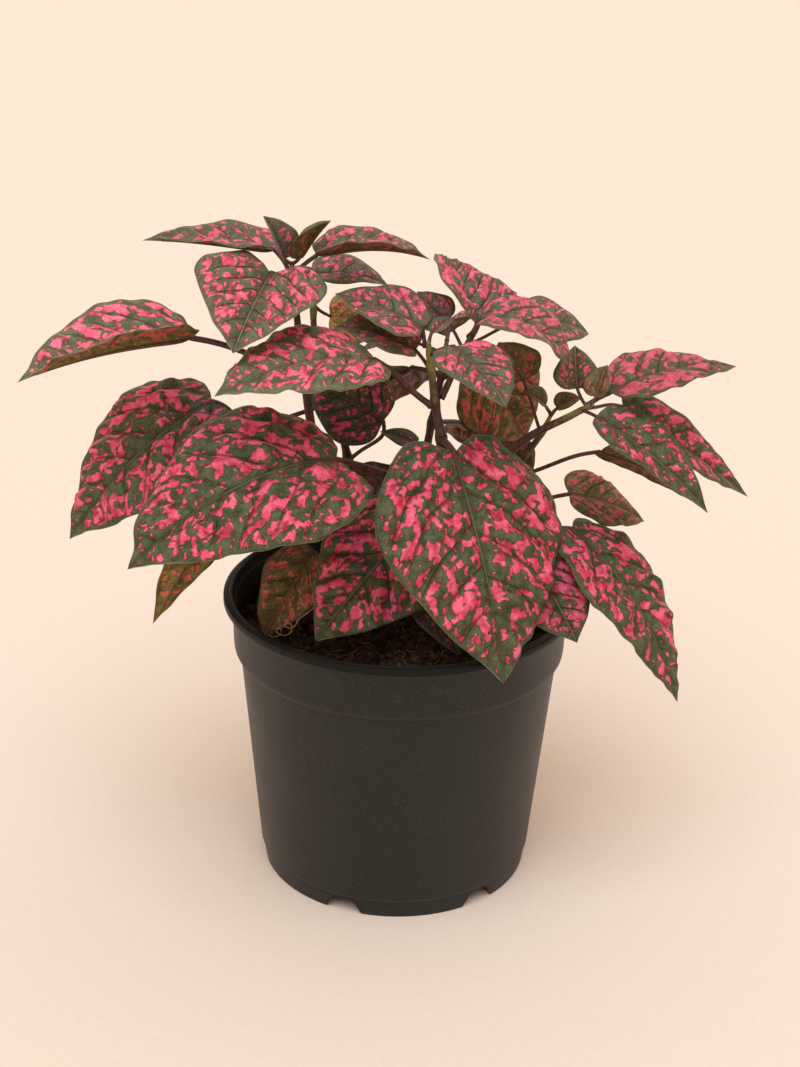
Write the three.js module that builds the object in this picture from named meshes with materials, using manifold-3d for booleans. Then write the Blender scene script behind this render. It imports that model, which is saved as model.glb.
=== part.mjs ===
// Potted polka dot plant: a thin-walled nursery pot with a notched foot, the soil in it, and the
// shoots and leaves of the plant. Millimetres, +Z up. The origin is the middle of the pot's foot.

import * as THREE from 'three';
import { mergeVertices } from 'three/addons/utils/BufferGeometryUtils.js';
import Module from 'manifold-3d';

const wasm = await Module();
wasm.setup();

// ---------------------------------------------------------------- driving dimensions

const GAP = 0.35; // clearance between pieces that touch

const POT_HEIGHT = 101;
const RIM_RADIUS = 60; // outside of the lip
const LIP_HEIGHT = 3;
const LIP_WIDTH = 2.8; // flat ring on top of the lip
const BAND_RADIUS = 57; // smooth band under the lip
const BAND_BOTTOM = 81;
const BODY_TOP_RADIUS = 54.4;
const BODY_FOOT_RADIUS = 47.6;
const WALL = 1.3;
const FOOT_HEIGHT = 6.8; // up to the fine seam round the pot
const FOOT_RADIUS = 46.3;
const FOOT_WALL = 2;
const FLOOR_UNDERSIDE = 6.2;
const FLOOR_TOP = 7.8;
const POT_SIDES = 48;

const FOOT_COUNT = 6;
const FIRST_NOTCH_DEG = 9;
const NOTCH_BOTTOM_WIDTH = 12;
const NOTCH_TOP_WIDTH = 7.5;
const NOTCH_HEIGHT = 5.6;
const NOTCH_DEPTH = 12; // cuts the foot's wall and stays clear of the drain holes

const DRAIN_RADIUS = 4;
const DRAIN_CIRCLE = 30; // the drain holes stand on this radius, one behind each foot
const CUT_OVERRUN = 2; // how far a cut reaches past the material it goes through

const SOIL_TOP = 88;
const SOIL_BUMP = 1; // its surface rises and falls by about this much
const SOIL_RINGS = [50, 38, 25, 12]; // radii of the rings of points across its surface

const STEPS_PER_JOINT = 3; // rings along a shoot, from one of its points to the next
const TIP_GAP = 0.8; // from a shoot's end to the stalk that carries on from it
const LEAVE_COS = Math.cos(Math.PI / 4); // stalks leave a shoot at 45 degrees or more

const LEAF_THICKNESS = 0.9;
const KEEL_HEIGHT = 0.5; // the midrib stands proud of the underside
const KEEL_HALF_WIDTH = 0.7;
const MARGIN_TAPER = 5; // narrower than this to one side, a blade thins with its width
const STALK_SHARE = 1 / 40; // a stalk's radius as a share of its leaf's width
const STALK_RADIUS_MIN = 0.55;
const STALK_RADIUS_MAX = 1.1;
const LONG_STALK = 12; // stalks longer than this get more rings
const USUAL_LOBE = 0.09;
const BROAD_LEAF = 33; // leaves at least this wide get the finer set of stations

const COLOURS = {
  pot: 0x2b2a27,
  soil: 0x2f1f16,
  stem: 0x4a2a2b,
  leaf: 0xb23a52,
};

// ---------------------------------------------------------------- shoots
// Each shoot is a smooth curve through its points, from the soil to its growing tip. `base` and
// `tip` are its radii there. A branch starts on another shoot, at a fraction of its length.

const SHOOTS = [
  { name: 'left_shoot', base: 2.0, tip: 0.9,
    points: [[-14, 2, 74], [-20, -1, 105], [-27, -3, 140], [-32, -1, 170], [-35, 2, 192], [-37, 2, 213]] },
  { name: 'left_rear_shoot', base: 1.8, tip: 0.8,
    points: [[-8, 14, 74], [-13, 20, 110], [-22, 27, 150], [-31, 29, 182], [-31, 27, 200]] },
  { name: 'center_shoot', base: 2.4, tip: 1.0,
    points: [[9, -5, 74], [11, -8, 108], [13, -11, 141], [12, -13, 161], [10, -13, 171], [7, -15, 193]] },
  { name: 'upper_right_branch', base: 1.1, tip: 0.8, from: 'center_shoot', at: 0.8,
    points: [[15, -9, 181], [21, -3, 193]] },
  { name: 'right_shoot', base: 2.1, tip: 0.9,
    points: [[17, 2, 74], [20, 1, 105], [26, -2, 136], [37, -5, 156], [54, -8, 168], [60, -9, 172]] },
  { name: 'right_rear_shoot', base: 1.8, tip: 0.8,
    points: [[22, 12, 74], [27, 13, 108], [35, 13, 134], [41, 12, 146], [46, 12, 154], [49, 12, 161]] },
  { name: 'back_shoot', base: 2.0, tip: 0.8,
    points: [[2, 20, 74], [4, 26, 108], [8, 32, 140], [12, 36, 163], [14, 38, 178]] },
  { name: 'left_low_shoot', base: 1.8, tip: 0.9,
    points: [[-24, -11, 74], [-28, -10, 98], [-34, -7, 118], [-43, -2, 140], [-51, 4, 155]] },
  { name: 'front_low_shoot', base: 1.6, tip: 0.9,
    points: [[-3, -10, 74], [-3, -11, 105], [2, -13, 130]] },
  { name: 'right_low_shoot', base: 1.7, tip: 0.9,
    points: [[26, -6, 74], [30, -8, 98], [37, -12, 118], [43, -17, 129]] },
];

// ---------------------------------------------------------------- leaves
// A leaf hangs on a shoot `at` a fraction of its length. Its stalk runs to the neck, and the
// blade from the neck to the tip. `facing` is the way its upper side looks. `fold` lifts both
// halves about the midrib and `cup` bends them down again towards the margin, in degrees.
// `arch` is how far the midrib rises at the neck and dives at the tip, in degrees. `lobe` is
// how far the two base lobes reach back past the neck, as a share of the blade's length.

const LEAVES = [
  // left shoot
  { name: 'leaf_left_outer', shoot: 'left_shoot', at: 0.66, neck: [-69, -5, 190], tip: [-120, -30, 182],
    width: 40, facing: [-0.1, -0.04, 1], fold: 36, cup: 10, arch: [8, 12], lobe: 0.05 },
  { name: 'leaf_left_top_outer', shoot: 'left_shoot', at: 0.96, neck: [-43, 8, 216], tip: [-86, 12, 217],
    width: 30, facing: [0, 0, 1], fold: 22, cup: 10, arch: [2, 8] },
  { name: 'leaf_left_top_front', shoot: 'left_shoot', at: 0.93, neck: [-43, -7.8, 212.5],
    tip: [-52, -42, 197], width: 42, facing: [0.06, -0.45, 0.85],
    fold: 24, cup: 16, arch: [12, 16], lobe: 0.24 },
  { name: 'leaf_left_top_inner', shoot: 'left_shoot', at: 0.97, neck: [-29, 3, 216], tip: [7, 8, 214],
    width: 28, facing: [0, 0.05, 1], fold: 26, cup: 10, arch: [16, 22] },
  { name: 'leaf_left_bud_outer', shoot: 'left_shoot', at: 1, neck: [-39.3, 1, 215], tip: [-46, 0, 229],
    width: 15, facing: [0.7, -0.5, 0.6], fold: 34, cup: 8, arch: [5, 14] },
  { name: 'leaf_left_bud_inner', shoot: 'left_shoot', at: 1, neck: [-34.7, 1.5, 215], tip: [-24.5, 0, 228],
    width: 15, facing: [-0.6, 0.1, 0.8], fold: 38, cup: 8, arch: [5, 14] },
  // left rear shoot
  { name: 'leaf_left_rear_top', shoot: 'left_rear_shoot', at: 0.97, neck: [-31, 24, 204],
    tip: [-6, 28, 199], width: 22, facing: [0, -0.2, 1], fold: 18, cup: 15, arch: [18, 24] },
  { name: 'leaf_left_rear_olive', shoot: 'left_rear_shoot', at: 0.88, neck: [-26, 33, 187],
    tip: [-9, 38, 181], width: 22, facing: [-0.1, -0.6, 0.8], fold: 8, cup: 15, arch: [12, 18] },
  { name: 'leaf_left_rear_shade', shoot: 'left_rear_shoot', at: 0.42, neck: [-7, 10, 158],
    tip: [-34, 18, 170], width: 28, facing: [0, -0.8, 0.6], fold: 8, cup: 18, arch: [10, 20] },
  { name: 'leaf_left_rear_outer', shoot: 'left_rear_shoot', at: 0.7, neck: [-38, 34, 170],
    tip: [-63, 48, 160], width: 28, facing: [-0.3, 0.2, 0.9], fold: 12, cup: 18, arch: [18, 22] },
  { name: 'leaf_left_rear_low', shoot: 'left_rear_shoot', at: 0.3, neck: [-26, 36, 132],
    tip: [-54, 58, 98], width: 40, facing: [-0.4, 0.5, 0.7], fold: 8, cup: 20, arch: [18, 18] },
  { name: 'leaf_left_rear_middle', shoot: 'left_rear_shoot', at: 0.56, neck: [-44, 24, 152],
    tip: [-80, 26, 126], width: 32, facing: [-0.4, 0.2, 0.85], fold: 10, cup: 16, arch: [18, 20] },
  // center shoot
  { name: 'leaf_front_large', shoot: 'center_shoot', at: 0.6, neck: [16, -24, 160], tip: [33, -60, 97],
    width: 67, facing: [0.5, -0.75, 0.5], fold: 6, cup: 20, arch: [8, 14], lobe: 0.14 },
  { name: 'leaf_front_left_large', shoot: 'center_shoot', at: 0.4, neck: [-21, -30, 159],
    tip: [-83, -62, 134], width: 61, facing: [-0.16, -0.5, 0.85],
    fold: 10, cup: 22, arch: [38, 34], lobe: 0.14 },
  { name: 'leaf_center_left', shoot: 'center_shoot', at: 0.8, neck: [-10, -23, 190], tip: [-57, -50, 186],
    width: 41, facing: [-0.05, -0.25, 1], fold: 8, cup: 14, arch: [22, 20], lobe: 0.06 },
  { name: 'leaf_center_small', shoot: 'center_shoot', at: 0.5, neck: [4, -5, 156], tip: [-8, 0, 158],
    width: 8, facing: [0, -0.4, 0.9], fold: 10, cup: 10, arch: [8, 12] },
  { name: 'leaf_crown_left', shoot: 'center_shoot', at: 0.98, neck: [5, -14, 198], tip: [-23, -6, 206],
    width: 25, facing: [0.1, -0.3, 0.95], fold: 16, cup: 12, arch: [14, 8] },
  { name: 'leaf_crown_left_low', shoot: 'center_shoot', at: 0.92, neck: [3, -9, 189], tip: [-23, -6, 195],
    width: 24, facing: [0.1, -0.3, 0.95], fold: 22, cup: 10, arch: [16, 18] },
  { name: 'leaf_crown_front', shoot: 'center_shoot', at: 0.97, neck: [15, -20, 194], tip: [31, -40, 181],
    width: 27, facing: [0.25, -0.35, 0.9], fold: 10, cup: 15, arch: [15, 22], lobe: 0.05 },
  { name: 'leaf_crown_bud', shoot: 'center_shoot', at: 1, neck: [8, -12, 196], tip: [15, -5, 199],
    width: 8, facing: [-0.4, -0.5, 0.7], fold: 20, cup: 5, arch: [5, 10] },
  // upper right branch
  { name: 'leaf_upper_rear', shoot: 'upper_right_branch', at: 0.93, neck: [23, 3, 195], tip: [9, 25, 211],
    width: 42, facing: [0.8, -0.45, 0.6], fold: 24, cup: 12, arch: [10, 14] },
  { name: 'leaf_upper_left', shoot: 'upper_right_branch', at: 0.8, neck: [13, 2, 196], tip: [3, 6, 204],
    width: 13, facing: [0.2, -0.5, 0.85], fold: 12, cup: 10, arch: [8, 12] },
  { name: 'leaf_upper_right', shoot: 'upper_right_branch', at: 1, neck: [24, -4, 198], tip: [52, -8, 183],
    width: 30, facing: [0.1, -0.12, 1], fold: 15, cup: 12, arch: [56, 64] },
  { name: 'leaf_upper_right_rear', shoot: 'upper_right_branch', at: 0.86, neck: [38, 13, 193],
    tip: [61, 22, 186], width: 22, facing: [0.4, -0.3, 0.8], fold: 10, cup: 15, arch: [20, 30] },
  // right shoot
  { name: 'leaf_right_top', shoot: 'right_shoot', at: 0.92, neck: [66, -8, 176], tip: [109, 10, 180],
    width: 32, facing: [0, -0.05, 1], fold: 10, cup: 12, arch: [22, 16], lobe: 0.02 },
  { name: 'leaf_right_outer', shoot: 'right_shoot', at: 0.93, neck: [72, 6, 166.5], tip: [118, 15, 132],
    width: 24, facing: [0.5, -0.4, 0.75], fold: 15, cup: 12, arch: [4, 6] },
  { name: 'leaf_right_front', shoot: 'right_shoot', at: 0.9, neck: [61, -17, 171], tip: [97, -30, 144],
    width: 23, facing: [0.2, -0.4, 0.9], fold: 20, cup: 12, arch: [14, 16], lobe: 0.03 },
  { name: 'leaf_right_bud', shoot: 'right_shoot', at: 0.95, neck: [56, 0, 174.5], tip: [55, 6.5, 187],
    width: 15, facing: [-0.2, -0.8, 0.5], fold: 22, cup: 10, arch: [4, 16] },
  { name: 'leaf_right_bud_inner', shoot: 'right_shoot', at: 1, neck: [61.5, -8, 174.5],
    tip: [65, -4, 184], width: 11, facing: [-0.5, -0.6, 0.5], fold: 30, cup: 10, arch: [10, 24] },
  // right rear shoot
  { name: 'leaf_right_rear_up', shoot: 'right_rear_shoot', at: 0.8, neck: [39, 12, 173],
    tip: [30, 5, 188], width: 18, facing: [-0.3, 0.6, 0.7], fold: 12, cup: 12, arch: [10, 15] },
  { name: 'leaf_right_under', shoot: 'right_rear_shoot', at: 0.45, neck: [66, 10, 149],
    tip: [99, 15, 130], width: 28, facing: [0.35, 0.6, 0.7], fold: 12, cup: 12, arch: [15, 15] },
  { name: 'leaf_right_rear_low', shoot: 'right_rear_shoot', at: 0.3, neck: [58, 26, 127],
    tip: [86, 34, 114], width: 30, facing: [0.3, -0.22, 0.9], fold: 10, cup: 15, arch: [16, 18] },
  { name: 'leaf_right_rear_bud', shoot: 'right_rear_shoot', at: 1, neck: [51, 13, 163],
    tip: [59, 15, 166], width: 9, facing: [-0.2, -0.4, 0.9], fold: 24, cup: 8, arch: [10, 40] },
  { name: 'leaf_right_rear_bud_inner', shoot: 'right_rear_shoot', at: 1, neck: [47, 12, 164],
    tip: [39, 9, 170], width: 10, facing: [0.2, -0.4, 0.9], fold: 24, cup: 8, arch: [20, 20] },
  // back shoot
  { name: 'leaf_back_olive', shoot: 'back_shoot', at: 0.78, neck: [26, 35, 170], tip: [43, 42, 140],
    width: 34, facing: [0.2, -0.8, 0.4], fold: 8, cup: 15, arch: [15, 15] },
  { name: 'leaf_back_top', shoot: 'back_shoot', at: 1, neck: [15, 45, 183], tip: [14, 65, 171],
    width: 26, facing: [-0.2, 0.4, 0.9], fold: 12, cup: 15, arch: [20, 25] },
  { name: 'leaf_back_top_left', shoot: 'back_shoot', at: 0.92, neck: [3, 41, 176], tip: [-18, 50, 168],
    width: 24, facing: [-0.2, 0.1, 0.95], fold: 12, cup: 14, arch: [18, 22] },
  { name: 'leaf_back_left', shoot: 'back_shoot', at: 0.8, neck: [2, 43, 166], tip: [-22, 62, 136],
    width: 38, facing: [-0.3, 0.65, 0.7], fold: 8, cup: 18, arch: [18, 20] },
  { name: 'leaf_back_right', shoot: 'back_shoot', at: 0.6, neck: [22, 51, 143], tip: [46, 63, 116],
    width: 38, facing: [0.35, 0.6, 0.7], fold: 8, cup: 18, arch: [18, 20] },
  { name: 'leaf_back_low_left', shoot: 'back_shoot', at: 0.35, neck: [-4, 42, 130], tip: [-14, 68, 94],
    width: 36, facing: [-0.1, 0.8, 0.5], fold: 8, cup: 18, arch: [16, 16] },
  { name: 'leaf_back_low_right', shoot: 'back_shoot', at: 0.4, neck: [30, 34, 122], tip: [60, 45, 88],
    width: 36, facing: [0.5, 0.5, 0.6], fold: 8, cup: 18, arch: [16, 16] },
  // left low shoot
  { name: 'leaf_left_middle', shoot: 'left_low_shoot', at: 1, neck: [-64, 8, 164], tip: [-110, -10, 121],
    width: 52, facing: [-0.4, -0.55, 0.75], fold: 6, cup: 16, arch: [26, 20] },
  { name: 'leaf_low_left', shoot: 'left_low_shoot', at: 0.4, neck: [-28, -14, 120], tip: [-45, -27, 94],
    width: 24, facing: [-0.3, -0.7, 0.6], fold: 14, cup: 14, arch: [14, 14] },
  { name: 'leaf_left_rim', shoot: 'left_low_shoot', at: 0.7, neck: [-56, 4, 130], tip: [-84, -5, 88],
    width: 22, facing: [-0.5, 0.75, 0.24], fold: 10, cup: 14, arch: [14, 14] },
  // front low shoot
  { name: 'leaf_front_low', shoot: 'front_low_shoot', at: 1, neck: [6, -18, 136], tip: [-27, -40, 100],
    width: 44, facing: [-0.2, -0.75, 0.6], fold: 6, cup: 18, arch: [8, 12] },
  { name: 'leaf_front_soil', shoot: 'front_low_shoot', at: 0.5, neck: [7, -26, 112], tip: [20, -42, 97],
    width: 16, facing: [0.2, -0.5, 0.8], fold: 10, cup: 12, arch: [12, 12] },
  // right low shoot
  { name: 'leaf_front_right', shoot: 'right_low_shoot', at: 1, neck: [56, -12.5, 130], tip: [91.5, -37.5, 80],
    width: 37, facing: [0.62, -0.45, 0.55], fold: 8, cup: 18, arch: [26, 22] },
  { name: 'leaf_right_rim', shoot: 'right_low_shoot', at: 0.6, neck: [44, -26, 122], tip: [57, -42, 103],
    width: 28, facing: [0.2, -0.8, 0.5], fold: 12, cup: 12, arch: [12, 12] },
];

const BROAD_STATIONS = [0.03, 0.1, 0.22, 0.38, 0.56, 0.74, 0.9];
const NARROW_STATIONS = [0.05, 0.2, 0.42, 0.66, 0.87];
const LEAF_SECTION_SIDES = 9;
const STEM_SIDES = 7;

// ---------------------------------------------------------------- helpers

const radians = THREE.MathUtils.degToRad;
const vector = (list) => new THREE.Vector3(...list);

function material(colour, roughness) {
  return new THREE.MeshStandardMaterial({ color: colour, roughness, metalness: 0 });
}

// a closed body from a start point, rings of equal length and an end point, all facing out
function ringSolid(start, rings, end) {
  const sides = rings[0].length;
  const points = [start, ...rings.flat(), end];
  const at = (ring, i) => 1 + ring * sides + (i % sides);
  const triangles = [];
  for (let i = 0; i < sides; i += 1) {
    triangles.push(0, at(0, i + 1), at(0, i));
    for (let ring = 0; ring < rings.length - 1; ring += 1) {
      triangles.push(at(ring, i), at(ring, i + 1), at(ring + 1, i + 1));
      triangles.push(at(ring, i), at(ring + 1, i + 1), at(ring + 1, i));
    }
    triangles.push(points.length - 1, at(rings.length - 1, i), at(rings.length - 1, i + 1));
  }
  const geometry = new THREE.BufferGeometry();
  const numbers = points.flatMap((each) => each.toArray());
  geometry.setAttribute('position', new THREE.Float32BufferAttribute(numbers, 3));
  geometry.setIndex(triangles);
  geometry.computeVertexNormals();
  return geometry;
}

// the part of a direction that is square to a unit tangent, as a unit vector
function squareTo(direction, tangent) {
  return direction.clone().addScaledVector(tangent, -direction.dot(tangent)).normalize();
}

// how a stalk or branch leaves a shoot for a target: its start, clear of the shoot's skin, and
// its heading there, which is turned away from the shoot's own direction as LEAVE_COS says
function leaveShoot(shoot, at, target, radius) {
  const start = shoot.curve.getPoint(at);
  const heading = target.clone().sub(start).normalize();
  if (at === 1) {
    return { start: start.addScaledVector(heading, TIP_GAP), heading };
  }
  const tangent = shoot.curve.getTangent(at);
  const along = THREE.MathUtils.clamp(heading.dot(tangent), -LEAVE_COS, LEAVE_COS);
  const across = Math.sqrt(1 - along * along);
  const sideways = squareTo(heading, tangent);
  heading.copy(tangent).multiplyScalar(along).addScaledVector(sideways, across);
  const distance = (shoot.radiusAt(at) + GAP + radius * Math.abs(along)) / across;
  return { start: start.addScaledVector(heading, distance), heading };
}

// ---------------------------------------------------------------- boolean work

function toSolid(geometry) {
  const bare = geometry.clone();
  bare.deleteAttribute('normal');
  bare.deleteAttribute('uv');
  const merged = mergeVertices(bare, 1e-4);
  return new wasm.Manifold(new wasm.Mesh({
    numProp: 3,
    vertProperties: new Float32Array(merged.attributes.position.array),
    triVerts: new Uint32Array(merged.index.array),
  }));
}

function toGeometry(solid) {
  const mesh = solid.getMesh();
  const geometry = new THREE.BufferGeometry();
  geometry.setAttribute('position', new THREE.BufferAttribute(new Float32Array(mesh.vertProperties), 3));
  geometry.setIndex(new THREE.BufferAttribute(new Uint32Array(mesh.triVerts), 1));
  geometry.computeVertexNormals();
  return geometry;
}

// ---------------------------------------------------------------- pot

// half section of the pot, from the axis under the floor round to the axis on top of it
function potProfile() {
  const bandTop = POT_HEIGHT - LIP_HEIGHT;
  const innerBand = BAND_RADIUS - WALL;
  return [
    [0, FLOOR_UNDERSIDE],
    [FOOT_RADIUS - FOOT_WALL + 0.4, FLOOR_UNDERSIDE],
    [FOOT_RADIUS - FOOT_WALL, 0],
    [FOOT_RADIUS, 0],
    [BODY_FOOT_RADIUS - 0.4, FOOT_HEIGHT],
    [BODY_FOOT_RADIUS, FOOT_HEIGHT + 0.3],
    [BODY_TOP_RADIUS, BAND_BOTTOM - 1.2],
    [BAND_RADIUS - 1.4, BAND_BOTTOM - 0.2],
    [BAND_RADIUS - 0.7, BAND_BOTTOM + 0.8],
    [BAND_RADIUS - 0.4, BAND_BOTTOM + 2.4],
    [BAND_RADIUS, bandTop],
    [RIM_RADIUS - 0.7, bandTop],
    [RIM_RADIUS, bandTop + 0.7],
    [RIM_RADIUS, POT_HEIGHT - 0.7],
    [RIM_RADIUS - 0.7, POT_HEIGHT],
    [RIM_RADIUS - LIP_WIDTH, POT_HEIGHT],
    [innerBand, bandTop - 0.5],
    [innerBand - 0.6, BAND_BOTTOM + 1.6],
    [BODY_TOP_RADIUS - WALL, BAND_BOTTOM - 1],
    [BODY_FOOT_RADIUS - WALL, FLOOR_TOP + 1],
    [BODY_FOOT_RADIUS - WALL - 1, FLOOR_TOP],
    [0, FLOOR_TOP],
  ];
}

// one notch in the foot's wall, wider at the table
function notchSolid(angle) {
  const shape = new THREE.Shape();
  shape.moveTo(-NOTCH_BOTTOM_WIDTH / 2, -CUT_OVERRUN);
  shape.lineTo(NOTCH_BOTTOM_WIDTH / 2, -CUT_OVERRUN);
  shape.lineTo(NOTCH_BOTTOM_WIDTH / 2, 0);
  shape.lineTo(NOTCH_TOP_WIDTH / 2, NOTCH_HEIGHT);
  shape.lineTo(-NOTCH_TOP_WIDTH / 2, NOTCH_HEIGHT);
  shape.lineTo(-NOTCH_BOTTOM_WIDTH / 2, 0);
  const geometry = new THREE.ExtrudeGeometry(shape, { depth: NOTCH_DEPTH, bevelEnabled: false });
  geometry.rotateX(Math.PI / 2);
  geometry.translate(0, BODY_FOOT_RADIUS + CUT_OVERRUN, 0);
  geometry.rotateZ(angle - Math.PI / 2);
  return toSolid(geometry);
}

// one drain hole, up through the floor
function drainSolid(angle) {
  const height = FLOOR_TOP - FLOOR_UNDERSIDE + 2 * CUT_OVERRUN;
  const geometry = new THREE.CylinderGeometry(DRAIN_RADIUS, DRAIN_RADIUS, height, 24);
  geometry.rotateX(Math.PI / 2);
  geometry.translate(DRAIN_CIRCLE, 0, (FLOOR_TOP + FLOOR_UNDERSIDE) / 2);
  geometry.rotateZ(angle);
  return toSolid(geometry);
}

function potGeometry() {
  const profile = potProfile().map(([radius, height]) => new THREE.Vector2(radius, height));
  const lathe = new THREE.LatheGeometry(profile, POT_SIDES);
  lathe.rotateX(Math.PI / 2);
  let solid = toSolid(lathe);
  for (let i = 0; i < FOOT_COUNT; i += 1) {
    const turn = radians(FIRST_NOTCH_DEG) + (i * 2 * Math.PI) / FOOT_COUNT;
    solid = solid.subtract(notchSolid(turn));
    solid = solid.subtract(drainSolid(turn + Math.PI / FOOT_COUNT));
  }
  return toGeometry(solid);
}

// ---------------------------------------------------------------- soil

function soilHeight(x, y) {
  const ripple = Math.sin(0.21 * x + 1.3) * Math.cos(0.17 * y + 0.4) + 0.6 * Math.sin(0.33 * y - 0.12 * x);
  return SOIL_TOP + SOIL_BUMP * ripple;
}

function soilGeometry(shoots) {
  const clear = WALL + GAP;
  const wall = [
    [BODY_FOOT_RADIUS - clear - 1.2, FLOOR_TOP + GAP],
    [BODY_TOP_RADIUS - clear - 0.1, BAND_BOTTOM - 1],
    [BAND_RADIUS - clear - 0.7, BAND_BOTTOM + 1.8],
    [BAND_RADIUS - clear - 0.5, SOIL_TOP - 0.6],
  ];
  const circle = (radius, height) => Array.from({ length: POT_SIDES }, (_, i) => {
    const turn = (2 * Math.PI * i) / POT_SIDES;
    const x = radius * Math.cos(turn);
    const y = radius * Math.sin(turn);
    return new THREE.Vector3(x, y, height ?? soilHeight(x, y));
  });
  const rings = wall.map(([radius, height]) => circle(radius, height));
  for (const radius of SOIL_RINGS) {
    rings.push(circle(radius));
  }
  const bottom = new THREE.Vector3(0, 0, FLOOR_TOP + GAP);
  let solid = toSolid(ringSolid(bottom, rings, new THREE.Vector3(0, 0, soilHeight(0, 0))));
  for (const shoot of shoots.filter((each) => !each.from)) {
    solid = solid.subtract(toSolid(shootGeometry(shoot, GAP)));
  }
  return toGeometry(solid);
}

// ---------------------------------------------------------------- shoots

function growShoots() {
  const grown = [];
  for (const shoot of SHOOTS) {
    const points = shoot.points.map(vector);
    if (shoot.from) {
      const parent = grown.find((each) => each.name === shoot.from);
      points.unshift(leaveShoot(parent, shoot.at, points[0], shoot.base).start);
    }
    const curve = new THREE.CatmullRomCurve3(points);
    const radiusAt = (u) => shoot.base + (shoot.tip - shoot.base) * u;
    grown.push({ ...shoot, curve, radiusAt, joints: points.length - 1 });
  }
  return grown;
}

// the shoot's solid, or with `grow` the slightly larger hole that it stands in
function shootGeometry(shoot, grow = 0) {
  const steps = shoot.joints * STEPS_PER_JOINT;
  let side = new THREE.Vector3(1, 0, 0);
  const foot = new THREE.Vector3();
  const rings = [];
  for (let i = 0; i <= steps; i += 1) {
    const u = i / steps;
    const centre = shoot.curve.getPoint(u);
    const tangent = shoot.curve.getTangent(u);
    side = squareTo(side, tangent);
    const other = new THREE.Vector3().crossVectors(tangent, side);
    const radius = (i === steps ? 0.7 : 1) * shoot.radiusAt(u) + grow;
    if (i === 0) {
      centre.addScaledVector(tangent, -grow);
      foot.copy(centre);
    }
    rings.push(Array.from({ length: STEM_SIDES }, (_, k) => {
      const turn = (-2 * Math.PI * k) / STEM_SIDES;
      return centre.clone()
        .addScaledVector(side, radius * Math.cos(turn))
        .addScaledVector(other, -radius * Math.sin(turn));
    }));
  }
  return ringSolid(foot, rings, shoot.curve.getPoint(1));
}

// ---------------------------------------------------------------- leaves

// half the width of a blade at a fraction t of its midrib: broad near the base, drawn out to a tip
const halfWidth = (t, width) => 0.5 * width * 2.6 * Math.sqrt(t) * (1 - t);

function stalkRing(centre, tangent, normal, radius) {
  const side = new THREE.Vector3().crossVectors(tangent, normal);
  return Array.from({ length: LEAF_SECTION_SIDES }, (_, i) => {
    const turn = i < 5 ? Math.PI - (i * Math.PI) / 4 : -((i - 4) * Math.PI) / 5;
    return centre.clone()
      .addScaledVector(side, radius * Math.cos(turn))
      .addScaledVector(normal, radius * Math.sin(turn));
  });
}

// one section across the blade: margin to margin over the top, then back underneath
function bladeRing(leaf, t, centre, tangent, normal, length) {
  const side = new THREE.Vector3().crossVectors(tangent, normal);
  const half = halfWidth(t, leaf.width);
  const fold = radians(leaf.fold);
  const cup = radians(leaf.cup);
  const sweep = (leaf.lobe ?? USUAL_LOBE) * length * Math.exp(-t / 0.1);
  const point = (share, lift) => {
    const out = Math.abs(share);
    const lean = fold - (cup * out) / 2;
    return centre.clone()
      .addScaledVector(side, share * half * Math.cos(lean))
      .addScaledVector(normal, out * half * Math.sin(lean) + lift)
      .addScaledVector(tangent, -sweep * out ** 1.5);
  };
  const thin = Math.min(1, half / MARGIN_TAPER);
  const top = (LEAF_THICKNESS / 2) * thin;
  const keel = Math.min(KEEL_HALF_WIDTH / half, 0.25);
  return [
    point(-1, 0), point(-0.5, top), point(0, top), point(0.5, top), point(1, 0),
    point(0.5, -top), point(keel, -top - KEEL_HEIGHT * thin), point(-keel, -top - KEEL_HEIGHT * thin),
    point(-0.5, -top),
  ];
}

function leafGeometry(leaf, shoot) {
  const neck = vector(leaf.neck);
  const tip = vector(leaf.tip);
  const facing = vector(leaf.facing).normalize();
  const length = neck.distanceTo(tip);
  const stalkRadius = THREE.MathUtils.clamp(leaf.width * STALK_SHARE, STALK_RADIUS_MIN, STALK_RADIUS_MAX);

  const axis = tip.clone().sub(neck).normalize();
  const lift = squareTo(facing, axis);
  const leaning = (degrees) => axis.clone().multiplyScalar(Math.cos(radians(degrees)))
    .addScaledVector(lift, Math.sin(radians(degrees)));
  const rise = leaning(leaf.arch[0]);
  const dive = leaning(-leaf.arch[1]);
  const midrib = new THREE.CubicBezierCurve3(
    neck,
    neck.clone().addScaledVector(rise, length / 3),
    tip.clone().addScaledVector(dive, -length / 3),
    tip,
  );

  const { start, heading } = leaveShoot(shoot, leaf.at, neck, stalkRadius);
  const stalkLength = start.distanceTo(neck);
  const arrive = neck.clone().sub(start).normalize().add(rise).normalize();
  const stalk = new THREE.CubicBezierCurve3(
    start,
    start.clone().addScaledVector(heading, stalkLength * 0.35),
    neck.clone().addScaledVector(arrive, -stalkLength * 0.35),
    neck,
  );

  const stations = leaf.width >= BROAD_LEAF ? BROAD_STATIONS : NARROW_STATIONS;
  const bladeRings = stations.map((t) => {
    const tangent = midrib.getTangent(t);
    return bladeRing(leaf, t, midrib.getPoint(t), tangent, squareTo(facing, tangent), length);
  });

  const steps = stalkLength > LONG_STALK ? 4 : 2;
  const stalkRings = [];
  let normal = squareTo(facing, rise);
  for (let i = steps; i >= 0; i -= 1) {
    const tangent = stalk.getTangent(i / steps);
    normal = squareTo(normal, tangent);
    stalkRings.unshift(stalkRing(stalk.getPoint(i / steps), tangent, normal, stalkRadius));
  }
  return ringSolid(start, [...stalkRings, ...bladeRings], tip);
}

// ---------------------------------------------------------------- the plant

function named(name, geometry, finish) {
  const mesh = new THREE.Mesh(geometry, finish);
  mesh.name = name;
  return mesh;
}

const plant = new THREE.Group();
const shoots = growShoots();

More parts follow.
